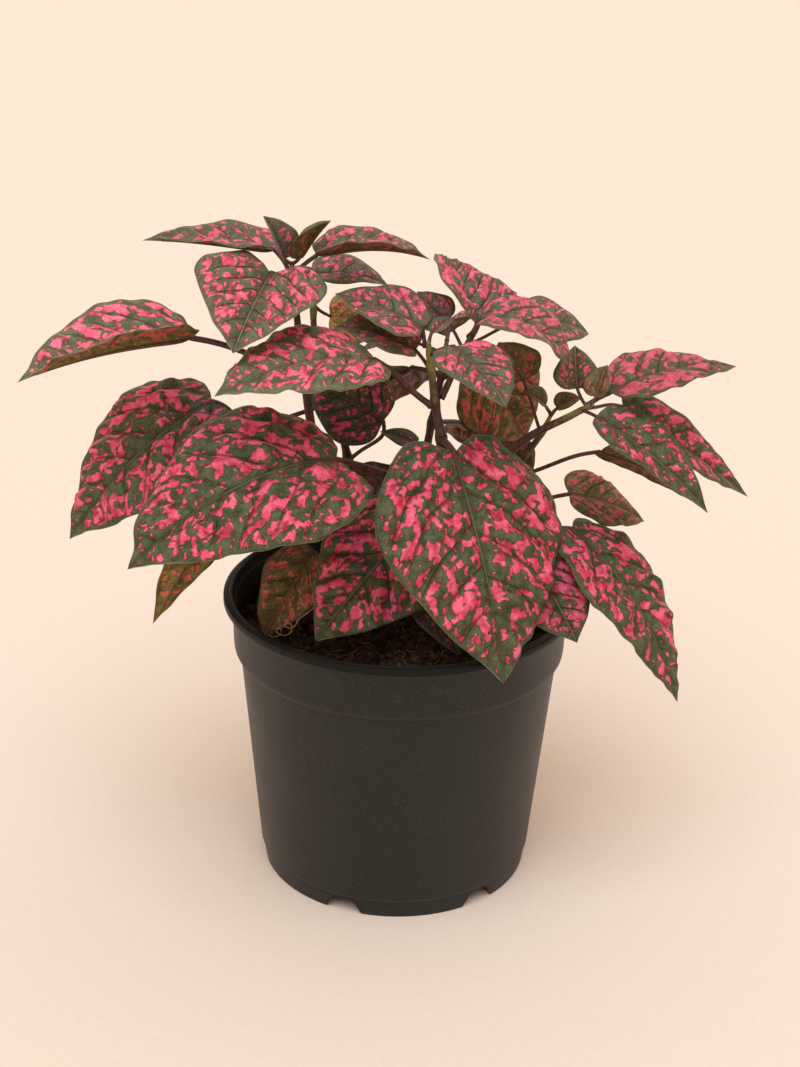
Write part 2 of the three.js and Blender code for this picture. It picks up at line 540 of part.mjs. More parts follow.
plant.add(named('pot', potGeometry(), material(COLOURS.pot, 0.55)));
plant.add(named('soil', soilGeometry(shoots), material(COLOURS.soil, 0.95)));
for (const shoot of shoots) {
  plant.add(named(shoot.name, shootGeometry(shoot), material(COLOURS.stem, 0.6)));
}
for (const leaf of LEAVES) {
  const shoot = shoots.find((each) => each.name === leaf.shoot);
  plant.add(named(leaf.name, leafGeometry(leaf, shoot), material(COLOURS.leaf, 0.5)));
}

export default plant;
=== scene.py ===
"""The looks of a potted polka dot plant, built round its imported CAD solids.

Each leaf, each shoot, the soil and the pot are modelled finely in place of their CAD solids. The
shapes of leaves and shoots are read from the rings of points of their CAD meshes, so they stay
where the CAD has them. Lengths are in millimetres until a mesh is made.
"""

import math

import bmesh
import bpy
import numpy as np
from mathutils import Matrix, Vector
from numpy.linalg import norm


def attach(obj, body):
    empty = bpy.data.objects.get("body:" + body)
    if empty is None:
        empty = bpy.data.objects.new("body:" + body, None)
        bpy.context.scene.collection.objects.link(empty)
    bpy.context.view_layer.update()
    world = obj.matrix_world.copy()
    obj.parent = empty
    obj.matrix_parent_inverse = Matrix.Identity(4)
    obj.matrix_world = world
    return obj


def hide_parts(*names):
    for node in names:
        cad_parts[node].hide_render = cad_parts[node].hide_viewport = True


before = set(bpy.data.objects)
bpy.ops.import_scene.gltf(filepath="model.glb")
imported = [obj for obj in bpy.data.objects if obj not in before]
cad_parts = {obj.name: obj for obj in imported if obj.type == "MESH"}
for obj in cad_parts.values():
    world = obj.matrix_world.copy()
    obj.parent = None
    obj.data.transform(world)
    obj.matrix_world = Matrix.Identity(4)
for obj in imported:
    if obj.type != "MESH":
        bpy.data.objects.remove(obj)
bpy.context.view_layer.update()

MM = 0.001

# ---- camera

CAMERA_AT = (-0.5, -587, 372)
CAMERA_PITCH = 23.1  # degrees below level
CAMERA_ROLL = 1.4
LENS = 64  # on a picture 36 mm high


def add_object(name, data):
    added = bpy.data.objects.new(name, data)
    bpy.context.scene.collection.objects.link(added)
    return added


def make_camera():
    pitch, roll = math.radians(CAMERA_PITCH), math.radians(CAMERA_ROLL)
    forward = Vector((0, math.cos(pitch), -math.sin(pitch)))
    level, level_up = Vector((1, 0, 0)), Vector((0, math.sin(pitch), math.cos(pitch)))
    right = level * math.cos(roll) + level_up * math.sin(roll)
    up = level_up * math.cos(roll) - level * math.sin(roll)
    data = bpy.data.cameras.new("camera")
    data.lens = LENS
    data.sensor_fit = "VERTICAL"
    data.sensor_height = 36
    data.clip_start, data.clip_end = 0.01, 50
    camera = add_object("camera", data)
    axes = Matrix((right, up, -forward)).transposed().to_4x4()
    camera.matrix_world = Matrix.Translation(Vector(CAMERA_AT) * MM) @ axes
    bpy.context.scene.camera = camera


make_camera()

# ---- node graphs


class Graph:
    """Short ways to build a material's nodes. A number, a tuple or a socket can feed any input."""

    def __init__(self, name, dimensions="3D"):
        self.dimensions = dimensions  # of its noises and cells
        self.material = bpy.data.materials.new(name)
        self.material.use_nodes = True
        self.tree = self.material.node_tree
        self.shader = self.tree.nodes["Principled BSDF"]

    def feed(self, socket, value):
        if isinstance(value, bpy.types.NodeSocket):
            self.tree.links.new(value, socket)
        elif isinstance(value, (tuple, list)) and socket.type == "RGBA":
            socket.default_value = (*value[:3], 1)
        else:
            socket.default_value = value

    def node(self, kind, out=0, inputs=None, **settings):
        node = self.tree.nodes.new("ShaderNode" + kind)
        for key, value in settings.items():
            setattr(node, key, value)
        for key, value in (inputs or {}).items():
            self.feed(node.inputs[key], value)
        return node.outputs[out]

    def math(self, operation, a, b=0):
        return self.node("Math", 0, {0: a, 1: b}, operation=operation)

    def times(self, a, b):
        return self.math("MULTIPLY", a, b)

    def vector(self, operation, a, b):
        return self.node("VectorMath", 0, {0: a, 1: b}, operation=operation)

    def scale(self, vector, factor):
        return self.node("VectorMath", 0, {0: vector, "Scale": factor}, operation="SCALE")

    def join(self, x, y, z=0):
        return self.node("CombineXYZ", 0, {0: x, 1: y, 2: z})

    def place(self):
        return self.node("TexCoord", "Object")

    def split(self, vector):
        node = self.tree.nodes.new("ShaderNodeSeparateXYZ")
        self.feed(node.inputs[0], vector)
        return node.outputs

    def span(self, value, low, high, to_low=0, to_high=1):
        """value from low..high to to_low..to_high, held at the ends."""
        return self.node(
            "MapRange", 0, {0: value, 1: low, 2: high, 3: to_low, 4: to_high}, clamp=True
        )

    def lean(self, total, value, middle, much):
        """total, raised by much for each 1 that value is above middle."""
        above = self.math("SUBTRACT", value, middle)
        return self.math("ADD", total, self.times(above, much))

    def mix(self, factor, a, b, blend="MIX"):
        inputs = {"Factor": factor, 6: a, 7: b}
        return self.node("Mix", 2, inputs, data_type="RGBA", blend_type=blend)

    def over(self, colour, *coats):
        """colour under coats of (how strong, colour), laid on in turn."""
        for factor, coat in coats:
            colour = self.mix(factor, colour, coat)
        return colour

    def noise(self, vector, scale, detail=2, rough=0.5, out=0):
        inputs = {"Vector": vector, "Scale": scale, "Detail": detail, "Roughness": rough}
        return self.node("TexNoise", out, inputs, noise_dimensions=self.dimensions)

    def cells(self, vector, scale, out="Distance", **settings):
        settings["voronoi_dimensions"] = self.dimensions
        return self.node("TexVoronoi", out, {"Vector": vector, "Scale": scale}, **settings)

    def attribute(self, name, out="Fac"):
        return self.node("Attribute", out, attribute_name=name)

    def uv(self, name):
        return self.node("UVMap", 0, uv_map=name)

    def bump(self, height, distance):
        inputs = {"Height": height, "Distance": distance * MM, "Strength": 1.0}
        return self.node("Bump", 0, inputs)

    def finish(self, **inputs):
        for key, value in inputs.items():
            self.feed(self.shader.inputs[key.replace("_", " ")], value)
        return self.material


# ---- meshes


def make_piece(name, points, faces, materials, replaces=(), face_slots=None, uvs=None):
    """A shaded piece of the plant. uvs holds one (x, y) for each corner of each face."""
    mesh = bpy.data.meshes.new(name)
    mesh.from_pydata((np.asarray(points) * MM).tolist(), [], faces)
    for material in materials:
        mesh.materials.append(material)
    if face_slots is not None:
        mesh.polygons.foreach_set("material_index", face_slots)
    for layer, corners in (uvs or {}).items():
        uv = mesh.uv_layers.new(name=layer)
        uv.data.foreach_set("uv", np.asarray(corners, np.float32).ravel())
    mesh.polygons.foreach_set("use_smooth", [True] * len(mesh.polygons))
    mesh.update()
    piece = add_object(name, mesh)
    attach(piece, "root")
    if replaces:
        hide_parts(*replaces)
    return piece


def unit(vectors):
    vectors = np.asarray(vectors, float)
    return vectors / np.maximum(norm(vectors, axis=-1, keepdims=True), 1e-9)


def spline(knots, values, at):
    """A natural cubic through the values at the knots, read at other places."""
    knots, values, at = np.asarray(knots, float), np.asarray(values, float), np.asarray(at, float)
    n, h = len(knots), np.diff(knots)
    flat = values.reshape(n, -1)
    left = np.eye(n)
    right = np.zeros_like(flat)
    for i in range(1, n - 1):
        left[i, i - 1 : i + 2] = h[i - 1], 2 * (h[i - 1] + h[i]), h[i]
        right[i] = 6 * ((flat[i + 1] - flat[i]) / h[i] - (flat[i] - flat[i - 1]) / h[i - 1])
    bend = np.linalg.solve(left, right)
    k = np.clip(np.searchsorted(knots, at) - 1, 0, n - 2)
    b = ((at - knots[k]) / h[k])[:, None]
    a = 1 - b
    curved = ((a**3 - a) * bend[k] + (b**3 - b) * bend[k + 1]) * (h[k] ** 2)[:, None] / 6
    return (a * flat[k] + b * flat[k + 1] + curved).reshape(len(at), *values.shape[1:])


def waves(x, y, seed, wavelength, count=7):
    """Smooth uneven ripples between about -1 and 1."""
    rng = np.random.default_rng(seed)
    total = np.zeros_like(np.asarray(x, float))
    for _ in range(count):
        turn, phase = rng.uniform(0, 2 * math.pi, 2)
        pitch = 2 * math.pi / (wavelength * rng.uniform(0.7, 1.5))
        total += np.sin(pitch * (x * math.cos(turn) + y * math.sin(turn)) + phase)
    return total / math.sqrt(count)


def round_turns(count):
    """Angles spaced evenly round a full turn."""
    return np.arange(count) * 2 * math.pi / count


def lengths_to(points):
    """How far along a line each of its points is."""
    gaps = norm(np.diff(points, axis=0), axis=1)
    return np.concatenate([[0], np.cumsum(gaps)])


def shifted(faces, by):
    """Faces with their point numbers raised."""
    return [tuple(k + by for k in face) for face in faces]


def ease(value, low, high):
    """From 0 at low to 1 at high, with soft ends."""
    t = np.clip((np.asarray(value, float) - low) / (high - low), 0, 1)
    return t * t * (3 - 2 * t)


def grid_normals(points, faces):
    """Unit normals of the points of a mesh of triangles and quads."""
    normals = np.zeros_like(points)
    for corners in (3, 4):
        chosen = np.array([f for f in faces if len(f) == corners])
        a, b, c, d = (points[chosen[:, i % corners]] for i in range(4))
        for i in range(corners):
            np.add.at(normals, chosen[:, i], np.cross(c - a, d - b))
    return unit(normals)


def ring_faces(rings, sides, inside_out=False):
    """Faces over a first end point, then rings of points, then a last end point."""

    def at(ring, i):
        return 1 + ring * sides + i % sides

    last = rings - 1
    faces = [(0, at(0, i + 1), at(0, i)) for i in range(sides)]
    for ring in range(last):
        for i in range(sides):
            faces.append((at(ring, i), at(ring, i + 1), at(ring + 1, i + 1), at(ring + 1, i)))
    faces += [(at(rings, 0), at(last, i), at(last, i + 1)) for i in range(sides)]
    return [(face[0], *face[:0:-1]) for face in faces] if inside_out else faces


def tube(centres, radii, sides, ribs=0):
    """A closed tube along a line. Returns its points and faces, and for each point how far
    along the line it is and its turn about it."""
    centres, radii = np.asarray(centres, float), np.asarray(radii, float)
    tangents = unit(np.gradient(centres, axis=0))
    side = np.array([1.0, 0, 0]) if abs(tangents[0][0]) < 0.9 else np.array([0, 1.0, 0])
    along = lengths_to(centres)
    turns = round_turns(sides)
    points = [centres[0]]
    for centre, tangent, radius in zip(centres, tangents, radii):
        side = unit(side - tangent * np.dot(side, tangent))
        other = np.cross(tangent, side)
        wide = radius * (1 + ribs * np.cos(4 * turns))
        spokes = np.cos(turns)[:, None] * side + np.sin(turns)[:, None] * other
        points.extend(centre + wide[:, None] * spokes)
    points.append(centres[-1])
    lengths = np.concatenate([[0], np.repeat(along, sides), along[-1:]])
    angles = np.concatenate([[0], np.tile(turns, len(centres)), [0]])
    return np.array(points), ring_faces(len(centres), sides), lengths, angles


# ---- reading the CAD solids back

WELD = 1e-5  # metres
LEAF_SIDES = 9
SHOOT_SIDES = 7


def cad_rings(node, sides, from_lowest):
    """A CAD solid's first end point, its rings of points and its last end point. It starts at
    its lower end, or else at its blunter one."""
    bm = bmesh.new()
    bm.from_mesh(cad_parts[node].data)
    bmesh.ops.remove_doubles(bm, verts=bm.verts, dist=WELD)
    poles = [v for v in bm.verts if len(v.link_faces) == sides]
    if len(poles) != 2:
        raise RuntimeError(f"{node} isn't made of rings of {sides} points")

    def reach(pole):
        return sum(edge.calc_length() for edge in pole.link_edges)

    first, last = sorted(poles, key=(lambda pole: pole.co.z) if from_lowest else reach)
    after = {}
    for face in last.link_faces:
        corners = list(face.verts)
        k = corners.index(last)
        after[corners[(k + 1) % 3]] = corners[(k + 2) % 3]
    ring = [min(after, key=lambda v: (v.co.x, v.co.y, v.co.z))]
    while len(ring) < sides:
        ring.append(after[ring[-1]])
    rings, seen = [ring], {last, *ring}
    while True:
        below = []
        for i in range(sides):
            edge = bm.edges.get((ring[i], ring[(i + 1) % sides]))
            below += [v for face in edge.link_faces for v in face.verts if v not in seen][:1]
        if below[0] == first:
            break
        rings.append(below)
        seen.update(below)
        ring = below
    places = np.array([[v.co / MM for v in ring] for ring in reversed(rings)])
    start, end = np.array(first.co / MM), np.array(last.co / MM)
    bm.free()
    return start, places, end


# ---- leaves

# Where the blade's rings stand, as shares of the midrib, by how many rings it has.
STATIONS = {7: (0.03, 0.1, 0.22, 0.38, 0.56, 0.74, 0.9), 5: (0.05, 0.2, 0.42, 0.66, 0.87)}
CELL = 0.9  # size of a blade's mesh squares
BLADE_THICKNESS = 0.34
CAD_THICKNESS, CAD_KEEL = 0.9, 0.5
VEIN_LEAN, VEIN_CURVE = 0.6, 0.42  # how side veins sweep towards the tip
VEIN_PAIRS = 5.6
PATCH_SIZE = 1.12
STALK_SIDES = 12
FULLER_BASE, SLIMMER_TIP = 0.03, 0.06  # against the CAD blade's width, as shares
SHARP_TIP = 0.24  # how much narrower its last fifth is
# the blade's relief, in full on a leaf at least as wide as this
FULL_RELIEF_WIDTH = 50
PUCKER, RIPPLE, MARGIN_WAVE, MIDRIB_CHANNEL = 1.9, 0.45, 0.9, 0.45
STALK_STEP = 1.5
STALK_ROOT = 1.2  # how far a stalk runs on into its shoot
STALK_FLARE = 0.35  # how much thicker it is there, as a share

# share of pink, how olive, brightness (in part the leaf's own tone, in part painted light and shade
# for how lit or shaded the leaf is), and how far green follows the veins
USUAL_LOOK = (0.52, 0, 1, 0)
LOOKS = {
    "front_left_large": (0.54, 0, 1.03, 0),
    "left_middle": (0.55, 0, 1, 0.1),
    "left_rear_olive": (0.45, 1, 3, 0.2),
    "back_olive": (0.5, 0.9, 1.35, 0.3),
    "left_rear_shade": (0.55, 0, 0.7, 0.2),
    "low_left": (0.48, 0.7, 1, 0.1),
    "left_rim": (0.62, 0.45, 2.1, 0.9),
    "right_rear_low": (0.5, 0.7, 1, 0.4),
    "right_under": (0.5, 0.5, 0.9, 0.4),
    "right_rear_bud": (0.3, 1, 0.9, 0.2),
    "right_rear_bud_inner": (0.3, 0.9, 1, 0.2),
    "right_bud_inner": (0.6, 0.6, 1.1, 0.3),
    "right_bud": (0.6, 0.2, 1.1, 0.3),
    "front_soil": (0.6, 0.1, 0.5, 0.2),
    "right_rim": (0.78, 0.1, 0.72, 0.5),
    "center_small": (0.55, 0.3, 0.7, 0.2),
    "upper_left": (0.75, 0.1, 1.1, 0.2),
    "crown_left": (0.64, 0, 1, 0.2),
    "crown_left_low": (0.5, 0.35, 1.15, 0.2),
    "crown_front": (0.58, 0, 1, 0.1),
    "crown_bud": (0.75, 0.1, 1.15, 0.3),
    "upper_right": (0.78, 0.1, 0.9, 0.8),
    "upper_rear": (0.66, 0, 1, 0.3),
    "right_top": (0.86, 0.2, 0.85, 0.9),
    "right_outer": (0.72, 0, 1, 0.7),
    "left_top_inner": (0.56, 0, 1, 0.4),
    "left_top_front": (0.53, 0, 1.15, 0.1),
    "front_low": (0.62, 0, 0.9, 0.1),
    "left_outer": (0.52, 0, 1.45, 0.1),
    "center_left": (0.53, 0, 1.3, 0.1),
    "front_right": (0.58, 0, 0.95, 0.2),
}


def leaf_frame(node):
    """A leaf's start, its stalk's centres and radii, its blade's net and which way is up. The net
    has five points from margin to margin at each step from the neck to the tip. A CAD ring has
    the margins at its points 0 and 4, the upper side between them and the keel at 6 and 7."""
    start, rings, tip = cad_rings(node, LEAF_SIDES, from_lowest=False)
    wide = rings[len(rings) // 2 + 1]
    gaps = norm(wide - np.roll(wide, -4, axis=0), axis=1)
    rings = np.roll(rings, -int(gaps.argmax()), axis=1)
    centres = (rings[:, 0] + rings[:, 4]) / 2
    radii = norm(rings - rings.mean(axis=1, keepdims=True), axis=2)
    stalk = int((radii.max(axis=1) < 2 * radii.min(axis=1)).sum())  # its rings are round
    blades = rings[stalk:]
    net = [np.repeat(centres[stalk - 1][None], 5, axis=0)]
    share = CAD_THICKNESS / (2 * CAD_THICKNESS + 2 * CAD_KEEL)
    for ring in blades:
        keel = (ring[6] + ring[7]) / 2
        middle = ring[2] + (keel - ring[2]) * share
        net.append([ring[0], (ring[1] + ring[8]) / 2, middle, (ring[3] + ring[5]) / 2, ring[4]])
    net.append(np.repeat(tip[None], 5, axis=0))
    up = unit(blades[0][2] - (blades[0][6] + blades[0][7]) / 2)
    return start, centres[:stalk], radii[:stalk].mean(axis=1), np.array(net), up


def blade_rows(net, rows, columns):
    """Points of the blade's middle surface, with the neck and the tip as rows of their own."""
    stations = (0, *STATIONS[len(net) - 2], 1)
    t = np.linspace(0, 1, rows + 1) ** 1.45
    ribs = spline(np.sqrt(stations), net, np.sqrt(t))
    share = np.linspace(-1, 1, columns + 1)
    out = np.abs(share)[None, :, None]
    half = np.where(share < 0, 1, 3)
    edge = np.where(share < 0, 0, 4)
    middle, between, margin = ribs[:, 2][:, None], ribs[:, half], ribs[:, edge]
    surface = (
        middle * (2 * out - 1) * (out - 1)
        + between * 4 * out * (1 - out)
        + margin * out * (2 * out - 1)
    )
    fuller = 1 + FULLER_BASE * np.exp(-(((t - 0.25) / 0.2) ** 2))
    fuller -= SLIMMER_TIP * np.sin(math.pi * np.clip((t - 0.4) / 0.6, 0, 1))
    fuller -= SHARP_TIP * ease(t, 0.78, 1)
    return middle + (surface - middle) * fuller[:, None, None], t, share


def in_point_order(values):
    """The grid's values in the order of its points: the inner rows, the neck, the tip."""
    inner = values[1:-1].reshape(-1, *values.shape[2:])
    return np.concatenate([inner, values[0, :1], values[-1, :1]])


def blade_faces(rows, columns):
    """Faces of one side of the blade, and whether each is on its left half."""
    inner = rows - 1
    neck = inner * (columns + 1)

    def at(i, j):
        return (i - 1) * (columns + 1) + j

    faces = [(neck, at(1, j), at(1, j + 1)) for j in range(columns)]
    for i in range(1, inner):
        for j in range(columns):
            faces.append((at(i, j), at(i + 1, j), at(i + 1, j + 1), at(i, j + 1)))
    faces += [(at(inner, j), neck + 1, at(inner, j + 1)) for j in range(columns)]
    return faces, [j < columns // 2 for j in range(columns)] * rows


def blade_relief(u, v, phase, margin, share, ends, width, number):
    """Puckers between the side veins, a channel over the midrib and an uneven margin."""
    size = min(1.0, width / FULL_RELIEF_WIDTH)
    out = np.abs(v)
    pucker = (0.5 - 0.5 * np.cos(2 * math.pi * phase)) * ease(out, 0.5, 5) * ease(margin, 0, 4)
    relief = PUCKER * size * ends * pucker * (1 + 0.5 * waves(u, v, 400 + number, 13))
    relief += RIPPLE * size * waves(u, v, 500 + number, 7) * ease(out, 0.5, 3)
    at_margin = np.abs(share) ** 3 * ends
    relief += MARGIN_WAVE * size * waves(u, 0 * v, 600 + number, 13, 4) * at_margin
    relief -= MIDRIB_CHANNEL * np.exp(-((v / 1.1) ** 2)) * ends
    return relief


def two_sides(points, normals, faces, thick):
    """The blade's points, its underside's faces, and which points have a twin below them. Both
    sides share the others, where thick is 0."""
    twinned = np.nonzero(thick >= 1e-6)[0]
    twin = np.arange(len(points))
    twin[twinned] = len(points) + np.arange(len(twinned))
    offset = normals * thick[:, None]
    both = np.concatenate([points + offset, (points - offset)[twinned]])
    return both, [tuple(int(twin[k]) for k in f[::-1]) for f in faces], twinned


def stalk_line(start, stalk):
    """A smooth line from inside the shoot to the blade's neck, and how thick it is there."""
    path = np.concatenate([[start], stalk])
    knots = lengths_to(path)
    kept = [0] + [i for i in range(1, len(path)) if knots[i] - knots[i - 1] > 0.05]
    path, knots = path[kept], knots[kept]
    steps = max(5, int(knots[-1] / STALK_STEP))
    line = spline(knots, path, np.linspace(0, knots[-1], steps + 1)) if len(path) > 2 else path
    heading = unit(line[1] - line[0])
    line = np.concatenate([[line[0] - heading * STALK_ROOT], line])
    from_shoot = np.linspace(0, knots[-1] + STALK_ROOT, len(line))
    return line, 1 + STALK_FLARE * np.exp(-from_shoot / 1.5)


def leaf_uvs(data, part, on_left, number, length, blade, stalk):
    """The UV maps, corner by corner. data holds millimetres along the midrib and out from it,
    side veins along the midrib, and millimetres to the margin. part is 0 for the upper side, 1
    for the underside and 2 for the stalk. blade is (least u, most u, most v) and stalk is (its
    length, where on it the neck is)."""
    u, v, phase, margin = data
    scale = PATCH_SIZE * (length / 70) ** 0.55
    along = (0.4 * phase * (length / VEIN_PAIRS) + 0.55 * u) / scale + 60 * number
    aside = 1.05 * np.abs(v) / scale + np.where(on_left, 300, 0)
    low_u, high_u, most_v = blade
    bake_x = 0.01 + 0.44 * (0.5 + 0.5 * v / most_v) + 0.46 * part
    bake_y = 0.01 + 0.98 * ((u - low_u) / (high_u - low_u))
    stalk_length, neck_at = stalk
    down_stalk = (stalk_length - (u + neck_at)) / stalk_length
    is_stalk = part == 2
    bake_x[is_stalk] = 0.94 + 0.05 * (v / (2 * math.pi))[is_stalk]
    bake_y[is_stalk] = 0.01 + 0.98 * np.clip(down_stalk, 0, 1)[is_stalk]
    maps = {"leaf": (u, v), "vein": (phase, margin), "pattern": (along, aside)}
    maps["OFBake"] = (bake_x, bake_y)
    return {name: np.stack(pair, axis=1) for name, pair in maps.items()}


def make_leaf(node, number, materials):
    """The fine leaf in place of a CAD one. Returns where its stalk leaves its shoot."""
    start, stalk, stalk_radii, net, up = leaf_frame(node)
    length = norm(np.diff(net[:, 2], axis=0), axis=1).sum()
    width = norm(net[:, 0] - net[:, 4], axis=1).max()
    rows = max(16, int(length / CELL))
    columns = max(10, 2 * int(width / CELL / 2))
    surface, t, share = blade_rows(net, rows, columns)

    # flat coordinates: u along the midrib, v out from it
    middle = surface[:, columns // 2]
    tangent = unit(np.gradient(middle, axis=0))
    along = lengths_to(middle)
    offset = surface - middle[:, None]
    forward = (offset * tangent[:, None]).sum(axis=2)
    v = np.sign(share) * np.sqrt(np.maximum((offset**2).sum(axis=2) - forward**2, 0))
    u = along[:, None] + forward
    half_width = np.maximum(np.abs(v[:, -1]), 0.01)[:, None]
    out = np.abs(v)
    phase = (u - VEIN_LEAN * out - VEIN_CURVE * 2 * out**2 / width) / (length / VEIN_PAIRS)
    phase = phase + 0.3 * (v > 0) + 0.09 * waves(u, v, 300 + number, 20)
    margin = (1 - np.abs(share)) * half_width * np.ones_like(v)

    # the blade, with its relief and its two sides
    faces, left = blade_faces(rows, columns)
    whole_t, whole_share = t[:, None] + 0 * v, share[None] + 0 * v
    grids = (surface, u, v, phase, margin, whole_t, whole_share)
    points, pu, pv, pp, pm, pt, ps = (in_point_order(grid) for grid in grids)
    normals = grid_normals(points, faces)
    middles = np.arange(rows - 1) * (columns + 1) + columns // 2  # on the midrib, row by row
    if np.dot(normals[middles[max(1, rows // 4) - 1]], up) < 0:
        faces = [f[::-1] for f in faces]
        normals = -normals
    ends = ease(pt, 0, 0.12) * ease(1 - pt, 0, 0.18)
    relief = blade_relief(pu, pv, pp, pm, ps, ends, width, number)
    points = points + normals * relief[:, None]
    normals = grid_normals(points, faces)
    thick = 0.5 * BLADE_THICKNESS * np.where(np.abs(ps) > 0.999, 0, 1) * ends**0.3
    thick[-2:] = 0
    blade_points, under_faces, twinned = two_sides(points, normals, faces, thick)
    blade_data = np.stack([pu, pv, pp, pm], axis=1)
    blade_data = np.concatenate([blade_data, blade_data[twinned]])

    # the stalk, which runs on under the blade as its midrib
    line, swell = stalk_line(start, stalk)
    radius = stalk_radii.mean()
    rib_rows = np.array([i for i in range(1, rows) if i % 2 and t[i] < 0.9])
    shrink = (1 - t[rib_rows]) ** 0.9 * 0.72 + 0.05
    sink = ease(t[rib_rows], 0, 0.06)
    over_rib = middles[rib_rows - 1]
    rib = points[over_rib] - normals[over_rib] * (radius * shrink * 0.8 * sink)[:, None]
    radii = np.concatenate([radius * swell, radius * shrink])
    neck_at = norm(np.diff(line, axis=0), axis=1).sum()
    tube_points, tube_faces, lengths, turns = tube(np.concatenate([line, rib]), radii, STALK_SIDES)
    tube_data = np.stack([lengths - neck_at, turns, 0 * lengths, 0 * lengths + 5], axis=1)
    tube_faces = shifted(tube_faces, len(blade_points))

    # one piece of it all
    all_points = np.concatenate([blade_points, tube_points])
    all_faces = faces + under_faces + tube_faces
    slots = [0] * len(faces) + [1] * len(under_faces) + [2] * len(tube_faces)
    counts = np.array([len(f) for f in all_faces])
    corners = np.array([k for f in all_faces for k in f])
    uvs = leaf_uvs(
        data=np.concatenate([blade_data, tube_data])[corners].T,
        part=np.repeat(slots, counts),
        on_left=np.repeat(left + left + [False] * len(tube_faces), counts),
        number=number,
        length=length,
        blade=(u.min(), u.max(), out.max()),
        stalk=(lengths.max(), neck_at),
    )
    name = node + "_fine"
    piece = make_piece(name, all_points, all_faces, materials, [node], slots, uvs)
    look = piece.data.color_attributes.new("look", "FLOAT_COLOR", "POINT")
    values = np.tile(LOOKS.get(node[len("leaf_"):], USUAL_LOOK), (len(all_points), 1))
    look.data.foreach_set("color", values.astype(np.float32).ravel())
    # a painted sheen: a pale wash that is stronger on blades that stand higher
    painted_sheen = MOST_PAINTED_SHEEN * float(ease(points[:, 2].mean(), PAINTED_SHEEN_FROM, PAINTED_SHEEN_TO))
    for name, value in (("number", float(number)), ("painted_sheen", painted_sheen)):
        piece.data.attributes.new(name, "FLOAT", "POINT").data.foreach_set(
            "value", np.full(len(all_points), value)
        )
    return start


# ---- materials of the plant

PINK = (0.48, 0.017, 0.068)
PINK_LIGHT = (0.9, 0.2, 0.35)
PINK_DEEP = (0.26, 0.006, 0.024)
DOT = (0.62, 0.02, 0.066)
GREEN_DEEP = (0.016, 0.025, 0.008)
GREEN_DARK = (0.02, 0.031, 0.01)
GREEN = (0.068, 0.088, 0.034)
GREEN_PALE = (0.2, 0.225, 0.115)
MARGIN = (0.05, 0.055, 0.022)
# the next colour is a painted highlight: a pale line along the very margin of each leaf
LEAF_EDGE_HIGHLIGHT = (0.3, 0.27, 0.17)
OLIVE = (0.14, 0.12, 0.026)
OLIVE_DARK = (0.05, 0.045, 0.01)
SALMON = (0.41, 0.075, 0.062)
VEIN = (0.13, 0.11, 0.055)
RIB_FOOT, RIB_TIP = (0.1, 0.035, 0.03), (0.14, 0.14, 0.065)
OLD_NET, OLD_SPECK, OLD_MARGIN = (0.06, 0.022, 0.012), (0.3, 0.2, 0.06), (0.1, 0.04, 0.025)
OLD_RIB, OLD_VEIN = (0.2, 0.075, 0.045), (0.16, 0.06, 0.035)
# a painted sheen: the colour of a pale wash over the upper blades, as if lit more from above
PAINTED_SHEEN = (0.62, 0.5, 0.48)
MOST_PAINTED_SHEEN, PAINTED_SHEEN_FROM, PAINTED_SHEEN_TO = 0.062, 172, 196  # most on blades as high up as this
STALK_DARK, STALK_LIGHT = (0.035, 0.012, 0.013), (0.105, 0.038, 0.033)
UNDER_RIB_DARK, UNDER_RIB_LIGHT = (0.1, 0.07, 0.03), (0.2, 0.09, 0.055)
SHOOT_DARK, SHOOT_LIGHT = (0.022, 0.008, 0.009), (0.072, 0.027, 0.024)
SHOOT_PATCH, SHOOT_SPECK = (0.1, 0.06, 0.03), (0.22, 0.14, 0.1)
YOUNG_DARK, YOUNG_LIGHT = (0.1, 0.09, 0.018), (0.27, 0.23, 0.055)


def patch_field(g, moved, wave, out, margin, pink_share, veined):
    """Above 0 in the pink: lobed patches, with loose dots between them. wave is 1 on a side
    vein, and out is how far off the midrib is."""
    near = g.cells(moved, 0.4)
    chance = g.split(g.cells(moved, 0.4, "Color"))
    field = 0
    for value, middle, much in (
        (g.noise(g.uv("pattern"), 0.09, 1), 0.5, 3.6),
        (g.noise(moved, 0.28, 0), 0.5, 5.6),
        (g.noise(moved, 0.6, 0), 0.5, 2.2),
        (near, 0.38, -2.6),
        (chance[0], 0.5, 0.8),
    ):
        field = g.lean(field, value, middle, much)
    near_vein = g.span(wave, 0.3, 1, 0, g.lean(0.15, veined, 0, 1.6))
    near_midrib = g.span(out, 0.8, 6.5, 1.3, 0)
    for green in (near_vein, near_midrib, g.span(margin, 0.8, 2.2, 2.8, 0)):
        field = g.math("SUBTRACT", field, green)
    field = g.lean(field, pink_share, 0.54, 4)
    # a dot stands at a cell's middle and is as wide as its chance allows
    dot = g.math("SUBTRACT", g.span(chance[1], 0.2, 1, 0.05, 0.36), near)
    dot = g.times(dot, 5)
    held = g.math("ADD", g.span(field, -3, -0.6, -1, 0), g.span(out, 0.8, 2, -1, 0))
    held = g.math("ADD", held, g.span(margin, 0.5, 1.2, -1, 0))
    return g.math("MAXIMUM", field, g.math("ADD", dot, held))


